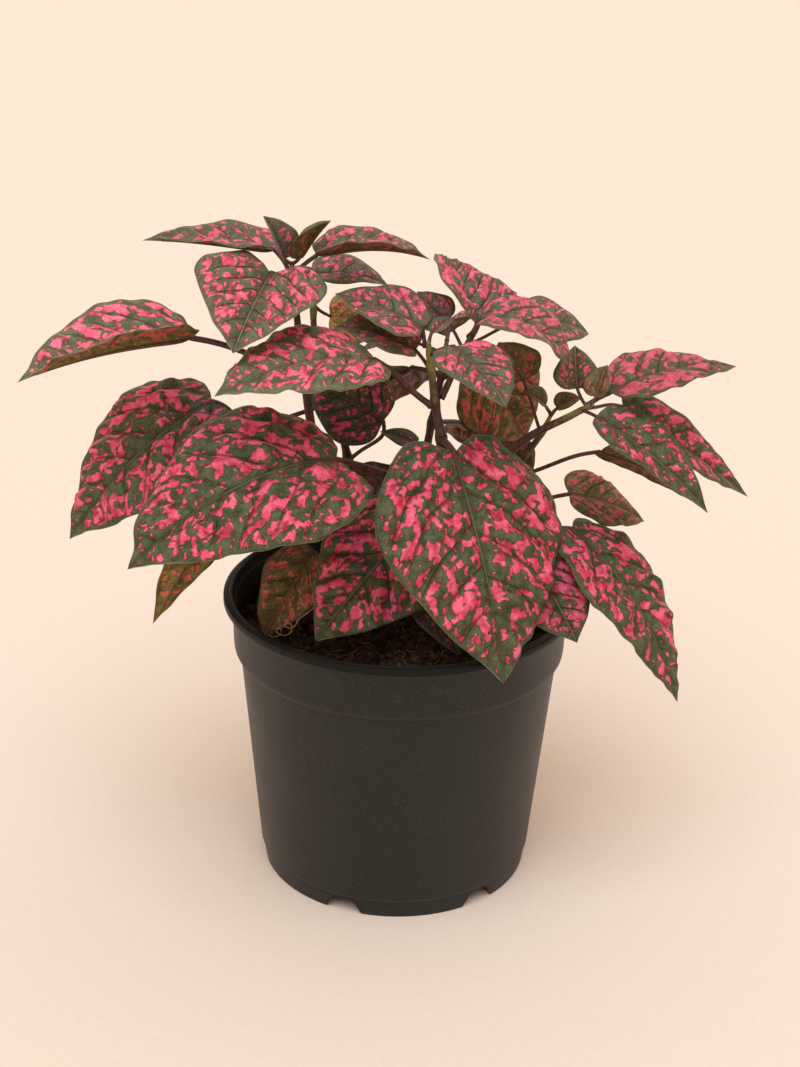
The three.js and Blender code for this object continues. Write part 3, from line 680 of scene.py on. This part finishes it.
def leaf_material(name, under):
    g = Graph(name, "2D")
    pink_share, olive, shade = g.split(g.attribute("look", "Color"))
    veined = g.attribute("look", "Alpha")
    number = g.attribute("number")
    u, v, _ = g.split(g.uv("leaf"))
    phase, margin, _ = g.split(g.uv("vein"))
    out = g.math("ABSOLUTE", v)
    place = g.join(g.lean(u, number, 0, 131), v)
    wave = g.math("COSINE", g.times(phase, 2 * math.pi))
    ripple = g.vector("SUBTRACT", g.noise(place, 0.55, 0.5, out="Color"), (0.5, 0.5, 0.5))
    moved = g.vector("ADD", g.uv("pattern"), g.scale(ripple, 1.7))
    field = patch_field(g, moved, wave, out, margin, pink_share, veined)
    in_patch = g.span(field, -0.05, 0.05)

    # the ground and the pink, with stains, mottling, the net of small veins and a painted highlight
    # along the margin
    mottle = g.noise(place, 0.3, 3, 0.6)
    fine = g.noise(place, 2.6, 3, 0.65)
    stain = g.span(g.noise(moved, 0.32, 2, 0.6), 0.54, 0.68)
    net = g.span(g.cells(place, 0.8, feature="DISTANCE_TO_EDGE"), 0, 0.12)
    ground = g.over(
        g.mix(g.span(mottle, 0.38, 0.62), GREEN_DARK, GREEN),
        (g.span(fine, 0.45, 0.8, 0, 0.5), GREEN_PALE),
        (g.span(field, -0.7, -0.05, 0, 0.75), GREEN_DEEP),
        (g.span(net, 0, 1, 0.12, 0), GREEN_PALE),
        (g.times(stain, 0.6), GREEN_DEEP),
        (g.span(margin, 0.4, 1, 0.8, 0), MARGIN),
        # a painted highlight: a thin pale line along the margin, as if rim light caught it
        (g.span(margin, 0.18, 0.34, 0.8, 0), LEAF_EDGE_HIGHLIGHT),
    )
    pink = g.over(
        g.mix(g.span(mottle, 0.38, 0.62, 0, 0.85), PINK, PINK_LIGHT),
        (g.span(field, 0.3, 1.6, 0, 0.35), PINK_LIGHT),
        (g.span(fine, 0.6, 0.35, 0, 0.75), DOT),
        (g.span(net, 0, 1, 0.1, 0), DOT),
        (g.times(stain, 0.75), PINK_DEEP),
    )
    pink = g.mix(g.span(field, 0, 0.35), g.mix(0.35, PINK_DEEP, DOT), pink)
    surface = g.mix(in_patch, ground, pink)

    # veins, with painted shade in their creases and on either side of the midrib
    line = g.times(g.span(wave, 0.984, 0.998), g.span(margin, 1, 5))
    line = g.times(line, g.span(out, 0.3, 0.8))
    crease = g.times(g.span(wave, 0.9, 0.995), g.span(margin, 2, 9))
    beside = g.math("SUBTRACT", out, g.span(u, 0, 60, 0.6, 0.22))  # the midrib
    rib = g.span(beside, -0.2, 0.08, 0.85, 0)
    surface = g.over(
        surface,
        # painted shade: darker green along the creases of the side veins
        (g.times(crease, 0.52), GREEN_DEEP),
        (g.times(line, 0.25), VEIN),
        # painted shade: darker green on either side of the midrib, where its groove is
        (g.span(beside, 0, 1.3, 0.5, 0), GREEN_DEEP),
        (rib, g.mix(g.span(u, 2, 22), RIB_FOOT, RIB_TIP)),
    )

    # olive leaves and undersides
    faded = g.over(
        g.mix(g.span(mottle, 0.4, 0.65), OLIVE_DARK, OLIVE),
        (in_patch, SALMON),
        (g.span(net, 0, 1, 0.5 if under else 0.15, 0), OLD_NET),
        (g.span(fine, 0.5, 0.75, 0, 0.4), OLD_SPECK),
        (rib, OLD_RIB),
        (line, OLD_VEIN),
        (g.span(margin, 0.1, 0.6, 0.8, 0), OLD_MARGIN),
    )
    if under:
        olive = g.span(olive, 0, 1, 0.86, 1)
    surface = g.mix(olive, surface, faded)
    # the look's brightness: in part the leaf's own tone, in part painted light and shade
    surface = g.mix(1, surface, g.join(shade, shade, shade), "MULTIPLY")
    # a painted sheen: a pale wash over the upper sides of the higher blades
    if not under:
        surface = g.mix(g.attribute("painted_sheen"), surface, PAINTED_SHEEN)

    # fine relief: the net of small veins, the skin's grain and the creases of the veins
    sunk = 0.8 if under else -0.8
    height = 0 if under else g.times(rib, -1.2)
    for part, much in ((net, 0.2), (fine, 0.35), (crease, sunk), (line, sunk)):
        height = g.lean(height, part, 0, much)
    return g.finish(
        Base_Color=surface,
        Roughness=g.span(fine, 0.3, 0.7, 0.54, 0.42),
        Normal=g.bump(height, 0.4),
        Specular_IOR_Level=0.36,
    )


def stalk_material():
    g = Graph("stalk")
    from_neck = g.split(g.uv("leaf"))[0]
    place = g.place()
    grain = g.noise(g.vector("MULTIPLY", place, (1, 1, 0.3)), 900, 3, 0.6)
    streaks = g.span(grain, 0.35, 0.7)
    stalk = g.mix(streaks, STALK_DARK, STALK_LIGHT)
    under_rib = g.mix(streaks, UNDER_RIB_DARK, UNDER_RIB_LIGHT)
    return g.finish(
        Base_Color=g.mix(g.span(from_neck, 0, 14), stalk, under_rib),
        Roughness=0.42,
        Normal=g.bump(grain, 0.08),
        Specular_IOR_Level=0.35,
    )


def shoot_material():
    g = Graph("shoot")
    share = g.split(g.uv("shoot"))[0]
    place = g.place()
    grain = g.noise(g.vector("MULTIPLY", place, (1, 1, 0.25)), 700, 4, 0.6)
    patches = g.noise(place, 160, 3, 0.6)
    specks = g.span(g.cells(place, 900), 0.12, 0.2, 0.4, 0)
    young = g.lean(share, patches, 0.5, 0.35)  # the growing end is green
    colour = g.over(
        g.mix(g.span(grain, 0.3, 0.7), SHOOT_DARK, SHOOT_LIGHT),
        (g.span(patches, 0.5, 0.68, 0, 0.7), SHOOT_PATCH),
        (g.span(young, 0.85, 0.96, 0, 0.8), g.mix(grain, YOUNG_DARK, YOUNG_LIGHT)),
        (specks, SHOOT_SPECK),
    )
    return g.finish(
        Base_Color=colour,
        Roughness=0.46,
        Normal=g.bump(g.lean(grain, specks, 0, 0.5), 0.15),
        Specular_IOR_Level=0.3,
    )


# ---- shoots

SHOOT_STEP, SHOOT_ROUND = 1.2, 18  # spacing of its rings, and points in each
JOINT_REACH = 3.4  # a stalk that starts as near as this swells the shoot
JOINT_SWELL, JOINT_SPREAD = 0.3, 2.2
END_TAPER, END_LENGTH = 0.25, 6


def make_shoot(node, joints, material):
    """The fine shoot in place of a CAD one. joints are the points where stalks leave shoots."""
    _, rings, _ = cad_rings(node, SHOOT_SIDES, from_lowest=True)
    centres = rings.mean(axis=1)
    radii = norm(rings - centres[:, None], axis=2).mean(axis=1)
    radii[-1] = radii[-2]
    knots = lengths_to(centres)
    steps = int(knots[-1] / SHOOT_STEP)
    at = np.linspace(0, knots[-1], steps + 1)
    line = spline(knots, centres, at)
    radius = np.interp(at, knots, radii)
    swell = np.zeros_like(at)
    for joint in joints:
        gaps = norm(line - joint, axis=1)
        nearest = int(gaps.argmin())
        if gaps[nearest] < JOINT_REACH:
            bulge = np.exp(-(((at - at[nearest]) / JOINT_SPREAD) ** 2))
            swell = np.maximum(swell, JOINT_SWELL * bulge)
    swell *= ease(at[-1] - at, 0, 4)
    taper = 1 - END_TAPER * (1 - ease(at[-1] - at, 0, END_LENGTH))
    radius = radius * (1 + swell) * taper * (1 + 0.03 * waves(at, 0 * at, len(node), 9, 4))
    heading = unit(line[-1] - line[-2])
    line = np.concatenate([line, [line[-1] + heading * 0.6, line[-1] + heading]])
    radius = np.concatenate([radius, [radius[-1] * 0.8, radius[-1] * 0.4]])
    points, faces, lengths, angles = tube(line, radius, SHOOT_ROUND, ribs=0.05)
    maps = np.stack([lengths / lengths.max(), angles], axis=1)
    uvs = {"shoot": maps[[k for f in faces for k in f]]}
    make_piece(node + "_fine", points, faces, [material], [node], uvs=uvs)


# ---- pot

POT_SEGMENTS = 240
# half section: radius and height, from under the floor round to its top
POT_PROFILE = [
    (0, 6.2), (44.5, 6.2), (44.3, 0.25), (44.5, 0), (46.1, 0), (46.3, 0.25), (47.15, 6.45),
    (47.2, 6.75), (47.45, 7.0), (47.62, 7.35), (54.35, 79.2), (54.5, 79.7), (54.9, 80.2),
    (55.6, 80.75), (56.1, 81.2), (56.38, 81.8), (56.6, 83.4), (57.0, 97.4), (57.25, 97.9),
    (59.2, 98), (59.7, 98.15), (60, 98.6), (60, 100.3), (59.8, 100.8), (59.3, 101),
    (58.6, 101), (58.5, 100.85), (58.35, 100.85), (58.25, 101), (57.4, 101), (56.9, 100.8),
    (56.1, 98.2), (55.7, 97.5), (55.15, 82.6), (54.5, 81.2), (53.3, 80), (53.05, 79),
    (46.3, 9.2), (46.0, 8.3), (45.2, 7.8), (0, 7.8),
]
FOOT_COUNT = 6
FIRST_NOTCH_DEG = 9
NOTCH_BOTTOM_WIDTH, NOTCH_TOP_WIDTH, NOTCH_HEIGHT, NOTCH_DEPTH = 12, 7.5, 5.6, 12
DRAIN_RADIUS, DRAIN_CIRCLE = 4, 30
LIP_FROM = 98.2
POT_DARK, POT_LIGHT = (0.007, 0.0082, 0.0068), (0.0126, 0.014, 0.0116)
LIP_BLACK, SCRATCH = (0.0025, 0.0028, 0.003), (0.085, 0.078, 0.065)
# dust, then the pale colour of the painted highlights along the mould's edges
DUST, POT_EDGE_HIGHLIGHT = (0.045, 0.041, 0.035), (0.11, 0.1, 0.085)
# painted highlights along the mould's edges: the height of each edge, how far off it the highlight
# goes, and how strong it is
HIGHLIT_EDGES = ((98.1, 0.3, 0.7), (81, 0.35, 0.8), (6.9, 0.35, 0.4), (0, 0.4, 0.3))


def pot_material(name, gloss):
    g = Graph(name)
    place = g.place()
    height_at = g.times(g.split(place)[2], 1 / MM)
    cloud = g.noise(place, 28, 3, 0.6)
    grain = g.noise(place, 1800, 2, 0.6)
    colour = g.mix(g.span(cloud, 0.3, 0.7), POT_DARK, POT_LIGHT)
    # short pale scratches that lie every way, thicker in some places
    for turn, offset in ((0.5, 0), (1.5, 3.7), (2.4, 7.9)):
        way = g.node("VectorRotate", 0, {"Vector": place, "Angle": turn}, rotation_type="Y_AXIS")
        way = g.vector("MULTIPLY", g.vector("ADD", way, (offset, offset, offset)), (1, 1, 0.3))
        scratch = g.span(g.cells(way, 640), 0.05, 0.12, 0.8, 0)
        patchy = g.span(g.noise(g.vector("ADD", place, (offset, 0, 0)), 38, 3, 0.6), 0.42, 0.66)
        colour = g.mix(g.times(scratch, patchy), colour, SCRATCH)
    dust = g.span(g.noise(place, 1300, 3, 0.7), 0.54, 0.76, 0, 0.6)
    colour = g.mix(dust, colour, DUST)
    # the lip is darker, and the mould's edges get pale painted highlights
    lip = g.span(height_at, 97.6, 98.4)
    colour = g.mix(g.times(lip, 0.8), colour, LIP_BLACK)
    highlight_patchiness = g.span(cloud, 0.3, 0.6, 0.35, 1)
    # painted highlights: pale lines along each edge of the mould, uneven in strength
    for edge, reach, much in HIGHLIT_EDGES:
        off = g.math("ABSOLUTE", g.math("SUBTRACT", height_at, edge))
        line = g.times(g.span(off, 0, reach, much, 0), highlight_patchiness)
        colour = g.mix(line, colour, POT_EDGE_HIGHLIGHT)
    height = g.math("ADD", grain, g.times(g.noise(place, 240, 2), 0.6))
    return g.finish(
        Base_Color=colour,
        Roughness=g.span(cloud, 0.3, 0.7, 0.4, 0.52),
        Normal=g.bump(height, 0.05),
        Specular_IOR_Level=gloss,
    )


def lathe(profile, segments):
    """A closed body of revolution whose profile starts and ends on the axis."""
    turns = round_turns(segments)
    points = [(0, 0, profile[0][1])]
    for radius, height in profile[1:-1]:
        points += [(radius * math.cos(a), radius * math.sin(a), height) for a in turns]
    points.append((0, 0, profile[-1][1]))
    return np.array(points), ring_faces(len(profile) - 2, segments)


def cutter(bm, outline, depth, matrix):
    """Adds a prism, with its outline in its own XY plane, to the mesh of cutters."""
    rows = [[bm.verts.new(matrix @ Vector((x, y, z)) * MM) for x, y in outline] for z in (0, depth)]
    bm.faces.new(rows[0][::-1])
    bm.faces.new(rows[1])
    for i in range(len(outline)):
        k = (i + 1) % len(outline)
        bm.faces.new((rows[0][i], rows[0][k], rows[1][k], rows[1][i]))


def make_pot(wall, lip):
    """A turned pot with its foot's notches and its drain holes cut out."""
    points, faces = lathe(POT_PROFILE, POT_SEGMENTS)
    lip_faces = [int(points[list(face)][:, 2].mean() > LIP_FROM) for face in faces]
    pot = make_piece("pot_fine", points, faces, [wall, lip], ["pot"], lip_faces)
    bm = bmesh.new()
    low, high = NOTCH_BOTTOM_WIDTH / 2, NOTCH_TOP_WIDTH / 2
    # half of a notch's outline, with its rounded corners
    half = [(low + 1.3, -2), (low + 1.3, 0), (low + 0.35, 0.3), (low - 0.15, 1.1)]
    half += [(high + 0.2, NOTCH_HEIGHT - 1.1), (high - 0.2, NOTCH_HEIGHT - 0.3)]
    half += [(high - 1.1, NOTCH_HEIGHT)]
    notch = half + [(-x, y) for x, y in half[::-1]]
    circle = [(DRAIN_RADIUS * math.cos(a), DRAIN_RADIUS * math.sin(a)) for a in round_turns(32)]
    for i in range(FOOT_COUNT):
        turn = math.radians(FIRST_NOTCH_DEG + i * 360 / FOOT_COUNT)
        stand = Matrix.Rotation(turn - math.pi / 2, 4, "Z") @ Matrix.Translation((0, 50, 0))
        cutter(bm, notch, NOTCH_DEPTH, stand @ Matrix.Rotation(math.pi / 2, 4, "X"))
        turn += math.pi / FOOT_COUNT
        spot = (DRAIN_CIRCLE * math.cos(turn), DRAIN_CIRCLE * math.sin(turn), 4)
        cutter(bm, circle, 6, Matrix.Translation(spot))
    mesh = bpy.data.meshes.new("pot_cuts")
    bm.to_mesh(mesh)
    bm.free()
    cuts = add_object("pot_cuts", mesh)
    modifier = pot.modifiers.new("cuts", "BOOLEAN")
    modifier.operation, modifier.solver = "DIFFERENCE", "EXACT"
    modifier.object = cuts
    graph = bpy.context.evaluated_depsgraph_get()
    cut = bpy.data.meshes.new_from_object(pot.evaluated_get(graph))
    pot.modifiers.clear()
    pot.data = cut
    cut.set_sharp_from_angle(angle=math.radians(38))
    bpy.data.objects.remove(cuts)


# ---- soil

SOIL_TOP = 88
SOIL_RADIUS = 55  # at its top, against the pot's wall
SOIL_STEP = 0.62  # size of its top's mesh squares
# radius and height of its edge, down the pot's wall to the pot's floor
SOIL_WALL = ((54.6, 84), (52.6, 80), (52.4, 79), (45.6, 9.5), (44.8, 8.2))
SOIL_FLECK = (0.2, 0.11, 0.055)
CRUMBS, FIBRES, PEBBLES = 1500, 340, 16


def soil_base(x, y):
    ripple = np.sin(0.21 * x + 1.3) * np.cos(0.17 * y + 0.4) + 0.6 * np.sin(0.33 * y - 0.12 * x)
    return SOIL_TOP + ripple


def soil_clods():
    """Centres, sizes and lifts of the rounded clods that the soil is pressed together from."""
    clods = []
    for seed, count, low, high in ((1, 260, 2.2, 5.0), (2, 1500, 0.9, 2.2)):
        rng = np.random.default_rng(seed)
        angle, reach = rng.uniform(0, 2 * math.pi, count), np.sqrt(rng.uniform(0, 1, count))
        size, lift = rng.uniform(low, high, count), rng.uniform(0.2, 0.7, count)
        reach = reach * SOIL_RADIUS
        clods.append(np.stack([reach * np.cos(angle), reach * np.sin(angle), size, lift], axis=1))
    return clods


def soil_height(x, y):
    height = soil_base(x, y) - 0.4
    for clods in soil_clods():
        top = np.full_like(x, -10)
        for at_x, at_y, radius, lift in clods:
            near = np.nonzero((np.abs(x - at_x) < radius) & (np.abs(y - at_y) < radius))[0]
            inside = np.maximum(radius**2 - (x[near] - at_x) ** 2 - (y[near] - at_y) ** 2, 0)
            top[near] = np.maximum(top[near], np.sqrt(inside) * lift - 0.2)
        height = height + np.maximum(top, -0.6)
    return height


def soil_material(name, dark, light, scale=1):
    """Crumbly stuff of two colours, with flecks. A larger scale gives it a finer grain."""
    g = Graph(name)
    place = g.place()
    lumps = g.noise(place, 260 * scale, 5, 0.65)
    grain = g.noise(place, 1500 * scale, 4, 0.7)
    colour = g.mix(g.span(lumps, 0.38, 0.68), dark, light)
    flecks = g.span(g.cells(place, 520 * scale), 0.1, 0.2, 0.7, 0)
    flecks = g.times(flecks, g.span(grain, 0.45, 0.6))
    colour = g.mix(flecks, colour, SOIL_FLECK)
    height = g.math("ADD", lumps, g.times(grain, 0.7))
    return g.finish(
        Base_Color=colour,
        Roughness=g.span(grain, 0.3, 0.7, 0.7, 0.95),
        Normal=g.bump(height, 0.5),
        Specular_IOR_Level=0.25,
    )


def make_soil():
    """Its lumpy top, in rings from the middle out, then down the pot's wall to the floor."""
    top_rings = int(SOIL_RADIUS / SOIL_STEP)
    segments = int(2 * math.pi * SOIL_RADIUS / SOIL_STEP)
    turns = round_turns(segments)
    circle = np.column_stack([np.cos(turns), np.sin(turns)])
    reaches = SOIL_RADIUS * np.arange(1, top_rings + 1) / top_rings
    flat = np.concatenate([[(0.0, 0.0)], *(reach * circle for reach in reaches)])
    solid = [np.column_stack([flat, soil_height(flat[:, 0], flat[:, 1])])]
    for reach, height in SOIL_WALL:
        solid.append(np.column_stack([reach * circle, 0 * turns + height]))
    solid.append(np.array([[0, 0, SOIL_WALL[-1][1]]]))
    faces = ring_faces(top_rings + len(SOIL_WALL), segments, inside_out=True)
    material = soil_material("soil", dark=(0.006, 0.0035, 0.0022), light=(0.05, 0.024, 0.012))
    make_piece("soil_fine", np.concatenate(solid), faces, [material], ["soil"])


def ball(divisions):
    bm = bmesh.new()
    bmesh.ops.create_icosphere(bm, subdivisions=divisions, radius=1)
    bm.verts.ensure_lookup_table()
    points = np.array([v.co for v in bm.verts])
    faces = [tuple(v.index for v in f.verts) for f in bm.faces]
    bm.free()
    return points, faces


def scatter(rng, count, edge):
    """Places on the soil, at least edge in from its rim."""
    angle = rng.uniform(0, 2 * math.pi, count)
    reach = (SOIL_RADIUS - edge) * np.sqrt(rng.uniform(0, 1, count))
    x, y = reach * np.cos(angle), reach * np.sin(angle)
    return np.stack([x, y, soil_height(x, y)], axis=1)


def make_lumps(name, count, sizes, divisions, material, seed, rough):
    """Crumbs or pebbles: uneven balls, half sunk in the soil."""
    rng = np.random.default_rng(seed)
    sphere, sphere_faces = ball(divisions)
    points, faces = [], []
    for spot in scatter(rng, count, 1.5 + sizes[1]):
        size = sizes[0] + (sizes[1] - sizes[0]) * rng.uniform(0, 1) ** 2.2
        shape = sphere * rng.uniform(0.6, 1.1, 3)
        bumps = sum(np.sin(shape @ rng.normal(0, 2.6, 3) + rng.uniform(0, 6)) for _ in range(4))
        shape = shape * (1 + rough * bumps / 3)[:, None]
        turn = np.array(Matrix.Rotation(rng.uniform(0, 6.3), 3, rng.normal(0, 1, 3)))
        faces += shifted(sphere_faces, len(points) * len(sphere))
        points.append(shape @ turn.T * size + spot + [0, 0, 0.25 * size])
    make_piece(name, np.concatenate(points), faces, [material])


def make_fibres(material):
    """Short bent strands that lie on the soil."""
    rng = np.random.default_rng(77)
    points, faces, base = [], [], 0
    for spot in scatter(rng, FIBRES, 5.0):
        length, turn = rng.uniform(2.5, 9), rng.uniform(0, 2 * math.pi)
        bend, rise = rng.uniform(-2.8, 2.8), rng.uniform(-0.1, 0.4)
        s = np.linspace(-0.5, 0.5, 9)
        heading = turn + bend * s * 2
        step = length / 8
        x = spot[0] + np.cumsum(np.cos(heading)) * step
        y = spot[1] + np.cumsum(np.sin(heading)) * step
        if np.hypot(x, y).max() >= SOIL_RADIUS - 1.5:
            continue
        z = spot[2] + 0.35 + rise * length * (0.25 - s**2) + 0.2 * np.sin(9 * s + turn)
        width = rng.uniform(0.11, 0.3)
        line = np.column_stack([x, y, z])
        tube_points, tube_faces, _, _ = tube(line, width * (1 - 1.4 * s**2), 5)
        points.append(tube_points)
        faces += shifted(tube_faces, base)
        base += len(tube_points)
    make_piece("soil_fibres", np.concatenate(points), faces, [material])


# The shrivelled edge of a low leaf in the pot: three points down its margin to the tip.
DRIED_EDGE = ((-27.0, -28.7, 108.2), (-34.2, -30.2, 102.0), (-45.0, -27.2, 93.9))
CURL_TURNS, CURL_RADIUS = 3.2, 2.3


def make_dried_edge(material):
    """A wiry strand along the leaf's margin, rolled up into loops before the tip."""
    s = np.linspace(0, 1, 110)
    line = spline(np.array((0, 0.45, 1)), np.array(DRIED_EDGE), s)
    turn = 2 * math.pi * CURL_TURNS * ease(s, 0.3, 1)
    reach = CURL_RADIUS * ease(s, 0.35, 0.62) * ease(1 - s, 0, 0.5)
    line[:, 0] += reach * np.sin(turn)
    line[:, 1] -= 0.9 * s * (1 - s) + 0.3 * reach
    line[:, 2] += reach * np.cos(turn) - 0.3 * np.sin(14 * s) * (1 - s)
    points, faces, _, _ = tube(line, 0.3 - 0.14 * s, 6)
    make_piece("dried_edge", points, faces, [material])


# ---- the floor and the light

FLOOR_HALF = 6  # metres
FLOOR_DARK, FLOOR_LIGHT = (0.645, 0.612, 0.553), (0.67, 0.637, 0.575)
# A faint glow keeps the floor's shadows warm, as in the photo. It fades out under the pot.
PAPER_GLOW = (0.068, 0.016, 0.001)
GLOW_FROM, GLOW_FULL = 0.041, 0.047  # metres from the pot's axis


def make_stage():
    g = Graph("floor")
    place = g.place()
    grain = g.noise(place, 400, 3, 0.6)
    from_axis = g.node("VectorMath", 1, {0: place}, operation="LENGTH")
    material = g.finish(
        Base_Color=g.mix(g.span(grain, 0.3, 0.7), FLOOR_DARK, FLOOR_LIGHT),
        Roughness=0.85,
        Specular_IOR_Level=0.1,
        Emission_Color=PAPER_GLOW,
        Emission_Strength=g.span(from_axis, GLOW_FROM, GLOW_FULL),
    )
    mesh = bpy.data.meshes.new("floor")
    sides = ((-1, -1), (1, -1), (1, 1), (-1, 1))
    corners = [(x * FLOOR_HALF, y * FLOOR_HALF, 0) for x, y in sides]
    mesh.from_pydata(corners, [], [(0, 1, 2, 3)])
    mesh.materials.append(material)
    floor = add_object("floor", mesh)


SUN_COLOUR = (0.93, 1, 1.08)


def make_sun(name, toward, strength, spread):
    """A soft light that looks spread degrees wide. toward points at it from the plant."""
    data = bpy.data.lights.new(name, "SUN")
    data.angle = math.radians(spread)
    data.energy = strength
    data.color = SUN_COLOUR
    light = add_object(name, data)
    light.rotation_euler = Vector(toward).to_track_quat("Z", "Y").to_euler()


BACKDROP_LIGHT, SKY_LIGHT = (1.1, 0.8, 0.57, 1), (0.62, 0.43, 0.28, 1)
BACKDROP_UP_TO, SKY_FROM = 0.3, 0.6  # as heights on a globe of radius 1


def make_world():
    """Bright all round, as a pale backdrop is, and dimmer overhead."""
    world = bpy.data.worlds.new("studio")
    world.use_nodes = True
    tree = world.node_tree
    kinds = ("TexCoord", "SeparateXYZ", "ValToRGB")
    place, split, ramp = (tree.nodes.new("ShaderNode" + kind) for kind in kinds)
    tree.links.new(place.outputs["Generated"], split.inputs[0])
    tree.links.new(split.outputs[2], ramp.inputs[0])
    tree.links.new(ramp.outputs[0], tree.nodes["Background"].inputs["Color"])
    stops = ((BACKDROP_UP_TO, BACKDROP_LIGHT), (SKY_FROM, SKY_LIGHT))
    for element, (position, colour) in zip(ramp.color_ramp.elements, stops):
        element.position = position
        element.color = colour
    bpy.context.scene.world = world


make_world()
make_sun("key", toward=(-0.1, -0.6, 1.05), strength=2, spread=50)
make_sun("top", toward=(0.15, 0.35, 1), strength=0.75, spread=90)
make_stage()
bpy.context.scene.view_settings.view_transform = "Standard"

# ---- the plant

leaf_nodes = sorted(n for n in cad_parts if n.startswith("leaf_"))
shoot_nodes = sorted(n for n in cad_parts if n.endswith(("_shoot", "_branch")))
leaf_materials = [
    leaf_material("leaf_top", under=False),
    leaf_material("leaf_underside", under=True),
    stalk_material(),
]
starts = [make_leaf(node, i, leaf_materials) for i, node in enumerate(leaf_nodes)]
stem = shoot_material()
for node in shoot_nodes:
    make_shoot(node, starts, stem)
make_pot(pot_material("pot_plastic", gloss=0.3), pot_material("pot_lip", gloss=0.17))
make_soil()
crumb = soil_material("soil_crumb", (0.012, 0.006, 0.0035), (0.1, 0.045, 0.022), scale=1.3)
fibre = soil_material("soil_fibre", (0.06, 0.026, 0.01), (0.32, 0.16, 0.06), scale=1.5)
dried = soil_material("dried_leaf", (0.22, 0.1, 0.055), (0.62, 0.34, 0.2), scale=2)
pebble = soil_material("soil_pebble", (0.035, 0.022, 0.014), (0.1, 0.07, 0.045), scale=0.5)
make_lumps("soil_crumbs", CRUMBS, (0.35, 2), 2, crumb, seed=5, rough=0.3)
make_fibres(fibre)
make_dried_edge(dried)
make_lumps("soil_pebbles", PEBBLES, (1.4, 2.6), 3, pebble, seed=9, rough=0.12)
